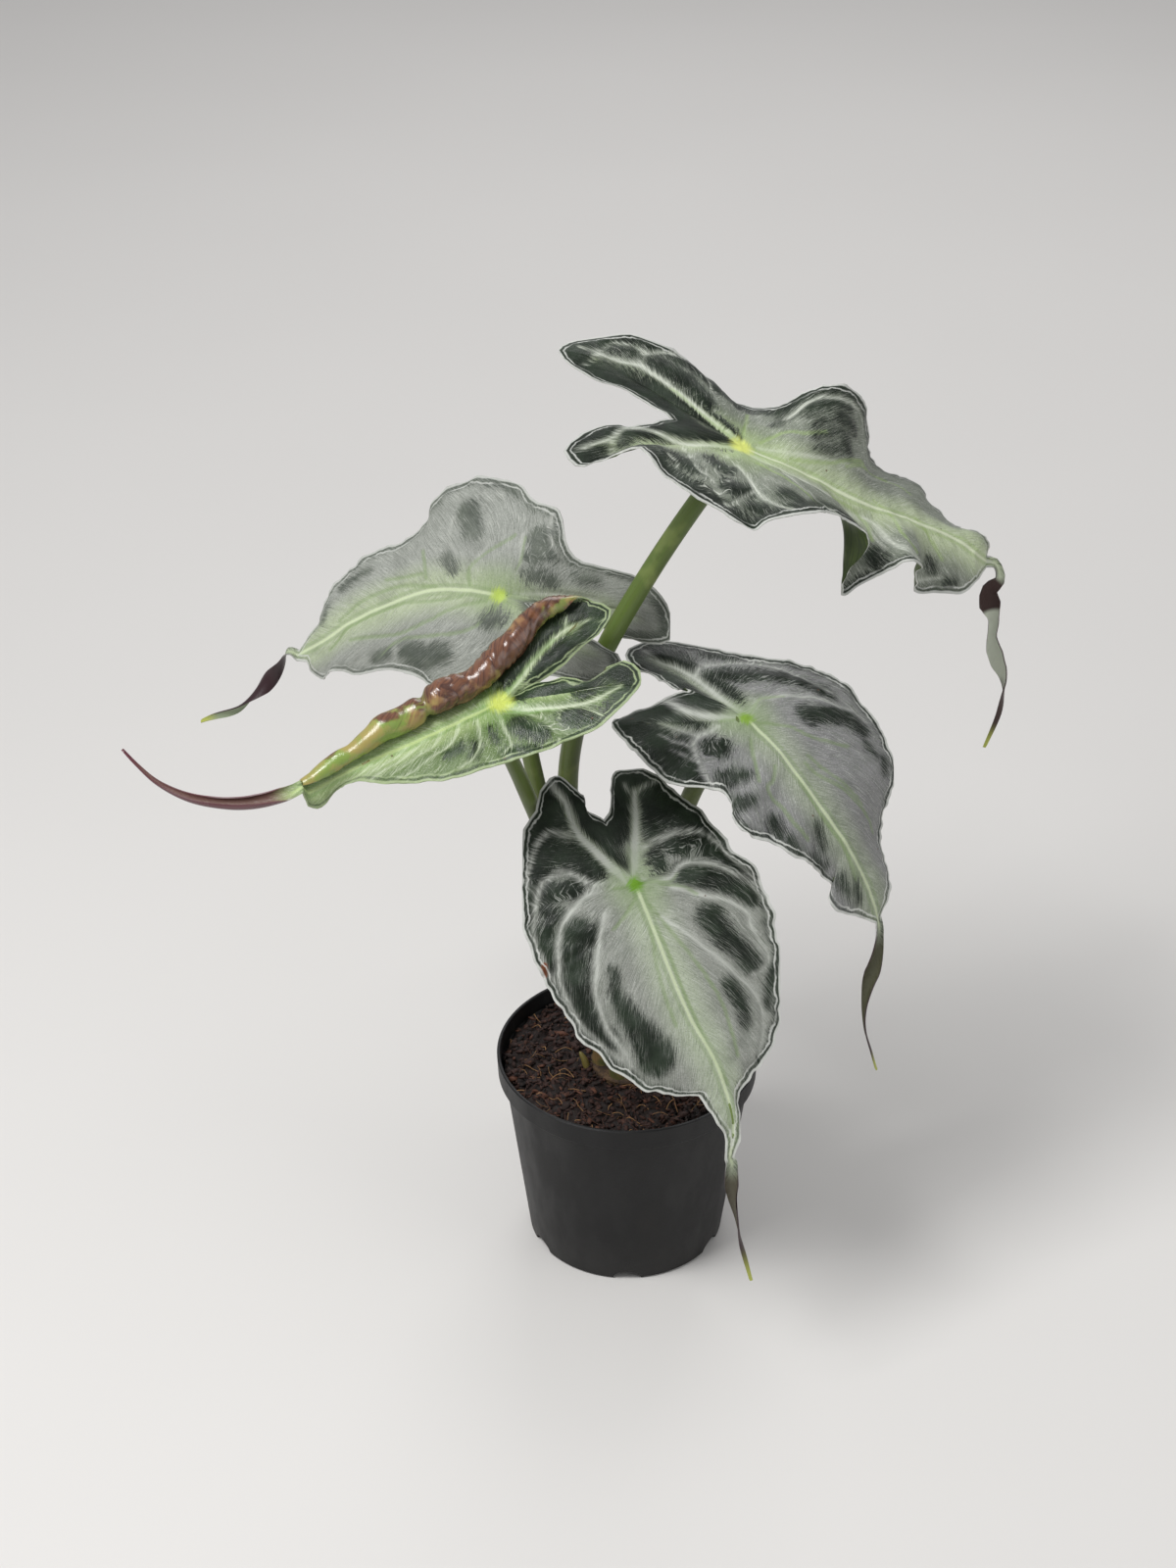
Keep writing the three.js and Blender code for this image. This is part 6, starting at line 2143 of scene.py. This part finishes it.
@dataclass
class Corm:
    """The ringed stem base that stands in the mix, and the small shoot beside it."""

    radius: float = 17.3
    top: float = 95.0
    bottom: float = 60.0
    shoot: Point = (-18.5, -3.0, 91.5)

    WAIST = 14.5
    RINGS = 39
    SWELL_RINGS = 26
    SHOOT_STEPS = ((0.0, 0.0, 0.0), (-1.2, 0.6, 4.0), (-3.4, 1.6, 8.0))
    SHOOT_ROWS = 24
    SHOOT_RADIUS = 1.7

    def skin(self) -> Material:
        """Brown, ringed and fibrous."""
        recipe = Recipe("corm_bark")
        rings = recipe.noise(800.0, 3.0, 0.5, recipe.place((0.15, 0.15, 1.0)))
        fibre = recipe.noise(700.0, 4.0, 0.6, recipe.place((1.0, 1.0, 0.15)))
        ringed = (rings, 0.35, 0.65, paint(92, 70, 46))
        colour = recipe.glaze(paint(44, 31, 21), ringed, (fibre, 0.46, 0.66, paint(30, 20, 14), 0.7))
        return recipe.finish(colour, 0.75, recipe.sum(rings, fibre), 0.6)

    def build(self) -> Piece:
        """Makes the corm.

        Returns:
            The piece that stands for the corm's node.
        """
        bm = bmesh.new()
        side = []
        for i in range(self.RINGS + 1):
            z = mix(self.bottom + 4, self.top - 2, i / self.RINGS)
            ridge = 0.35 * math.sin(z * 1.9) + 0.2 * math.sin(z * 4.3)
            side.append((mix(self.WAIST, self.radius - 0.6, smooth(i / self.SWELL_RINGS)) + ridge, z))
        crown = [(self.radius * math.cos(a), self.top - 2 + 2 * math.sin(a)) for a in (0.5, 0.9, 1.2, 1.4)]
        lathe(bm, [(0, self.bottom), (10, self.bottom), *side, *crown, (0, self.top)], 96)
        for vert in bm.verts:
            push = noise.fractal(vert.co * 0.25, 0.8, 2.0, 4) * 0.5
            vert.co += vert.normal * min(push, 0.3)
        return finished(bm, "corm_crown", (self.skin(),), ("corm",))

    def build_shoot(self) -> Piece:
        """Makes the small green shoot that shows in front of the crown.

        Returns:
            The shoot's piece.
        """
        bm = bmesh.new()
        line = SmoothLine([np.add(self.shoot, step) for step in self.SHOOT_STEPS])
        points, run = [], []
        for row in range(self.SHOOT_ROWS + 1):
            share = row / self.SHOOT_ROWS
            tangent = line.tangent(share)
            side = np.cross(tangent, (0.0, 1.0, 0.0))
            side = side / np.linalg.norm(side)
            other = np.cross(tangent, side)
            radius = self.SHOOT_RADIUS * math.sqrt(max(1 - share**2.2, 0.0004))
            turns = np.linspace(0, 2 * math.pi, 17)
            points.append(line.point(share) + ring(side, other, turns) * radius)
            run.append([(turn * radius / 10, share) for turn in turns])
        lay_grid(bm, np.array(points), np.array(run))
        close_up(bm)
        bmesh.ops.holes_fill(bm, edges=[edge for edge in bm.edges if edge.is_boundary])
        finish = StalkFinish("shoot_skin", paint(120, 116, 60), paint(142, 140, 70), paint(120, 104, 58))
        return finished(bm, "young_shoot", (finish.skin(),))


class Studio:
    """The pale floor, the soft lights and the camera at the photograph's angle."""

    FLOOR = 8.0
    LIGHTS = {
        "key": ((-700, -500, 1500), (20, 0, 250), 600.0, 20.0),
        "fill": ((1300, -600, 700), (0, 0, 220), 1100.0, 4.0),
        "back": ((200, 1500, 1300), (0, 0, 250), 1000.0, 7.0),
    }

    def build(self) -> None:
        """Makes floor, lights and camera."""
        self.lay_floor()
        for name, light in self.LIGHTS.items():
            self.light(name, *light)
        world = bpy.data.worlds.new("studio")
        world.use_nodes = True
        colour, strength = world.node_tree.nodes["Background"].inputs[:2]
        colour.default_value = paint(226, 226, 228)
        strength.default_value = 0.55
        bpy.context.scene.world = world
        data = bpy.data.cameras.new("camera")
        data.lens = Viewpoint.LENS
        data.sensor_width = Viewpoint.SENSOR
        data.sensor_fit = "AUTO"
        camera = bpy.data.objects.new("camera", data)
        camera.location = Vector(Viewpoint.PLACE) * MM
        camera.rotation_euler = (math.radians(90 - Viewpoint.LOOKING_DOWN), 0.0, 0.0)
        bpy.context.scene.collection.objects.link(camera)
        bpy.context.scene.camera = camera
        bpy.context.scene.view_settings.view_transform = "Standard"

    def lay_floor(self) -> None:
        """Lays the plain pale floor."""
        recipe = Recipe("pale_floor")
        tone = recipe.noise(3.0, 2.0)
        colour = recipe.blend(tone, paint(214, 212, 209), paint(219, 217, 214))
        bm = bmesh.new()
        bmesh.ops.create_grid(bm, x_segments=1, y_segments=1, size=self.FLOOR)
        floor = placed(bm, "floor")
        floor.data.materials.append(recipe.finish(colour, 0.7, tone, 0.01))

    def light(self, name: str, place: Point, target: Point, size: float, power: float) -> None:
        """Hangs a soft square light.

        Args:
            name: The light's name.
            place: Where it hangs, in millimetres.
            target: What it faces.
            size: The length of its side.
            power: Its power in watts.
        """
        data = bpy.data.lights.new(name, "AREA")
        data.size = size * MM
        data.energy = power
        lamp = bpy.data.objects.new(name, data)
        lamp.location = Vector(place) * MM
        lamp.rotation_euler = (Vector(target) - Vector(place)).to_track_quat("-Z", "Y").to_euler()
        bpy.context.scene.collection.objects.link(lamp)


LEAF_FINISHES = (
    # This leaf's silver is set darker than the others': partly its own greyer frost, partly painted shade on
    # its raised rear half, which is turned from the light.
    LeafFinish(
        "upper", silver=paint(128, 133, 122), mid=paint(190, 203, 164), shade=paint(84, 94, 76),
        rib=paint(226, 234, 204), heart=paint(214, 222, 118), heart_reach=5.0, green_reach=34.0,
        vein=paint(150, 176, 104), bright=paint(224, 228, 216), tip_upper=paint(196, 202, 186),
        tip_under=paint(58, 40, 36), tip_band=(0.2, 0.1), tip_turns=(0.62, 0.86), blur=1.1,
    ),
    LeafFinish(
        "front", silver=paint(146, 148, 141), mid=paint(168, 178, 154), tip_upper=paint(64, 56, 42),
        tip_turns=(1.2, 0.7), blur=1.6,
    ),
    # Painted shade: this leaf's silver and the frost beside its midrib are set darker than the others', for
    # the light that falls off over it.
    LeafFinish(
        "right", silver=paint(136, 135, 136), mid=paint(150, 158, 138), heart=paint(124, 158, 56),
        tip_upper=paint(66, 64, 44),
    ),
    LeafFinish(
        "back", silver=paint(150, 153, 146), mid=paint(170, 182, 148), outline=paint(188, 190, 184),
        heart=paint(176, 198, 92), shade=paint(104, 108, 100), dark=paint(70, 76, 68), lit_dark=paint(96, 102,
        92), bright=paint(194, 196, 188),
    ),
    LeafFinish(
        "rolled", silver=paint(100, 121, 70), mid=paint(168, 188, 130), bright=paint(222, 230, 204),
        outline=paint(164, 180, 136), shade=paint(74, 98, 50), dark=paint(15, 28, 13), lit_dark=paint(40, 60,
        32), vein=paint(104, 146, 60), rib=paint(190, 210, 140), heart=paint(200, 214, 100),
        heart_reach=5.0, under_vein=paint(138, 132, 78), tip_upper=paint(104, 62, 66), tip_under=paint(92,
        50, 56), tip_end=paint(92, 40, 52), feather=9.0, blur=0.8, mid_reach=11.0, gloss=1.0,
    ),
)
FINISHES = {finish.name: finish for finish in LEAF_FINISHES}
STALK_FINISH = StalkFinish("stalk_green", paint(84, 88, 46), paint(86, 106, 46))


def main() -> None:
    """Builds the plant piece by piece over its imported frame."""
    logging.basicConfig(level=logging.INFO, format="%(message)s")
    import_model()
    noise.seed_set(NOISE_SEED)
    pot = Pot()
    pot.build()
    GrowingMix(pot).build()
    corm = Corm()
    corm.build()
    corm.build_shoot()
    for leaf in LEAVES:
        Blade(leaf, FINISHES[leaf.name], columns=72 if leaf.left.strip or leaf.right.strip else 40).build()
        stalk = Stalk(leaf, STALK_FINISH)
        stalk.build()
        stalk.build_sheath()
    Studio().build()


if __name__ == "__main__":
    main()
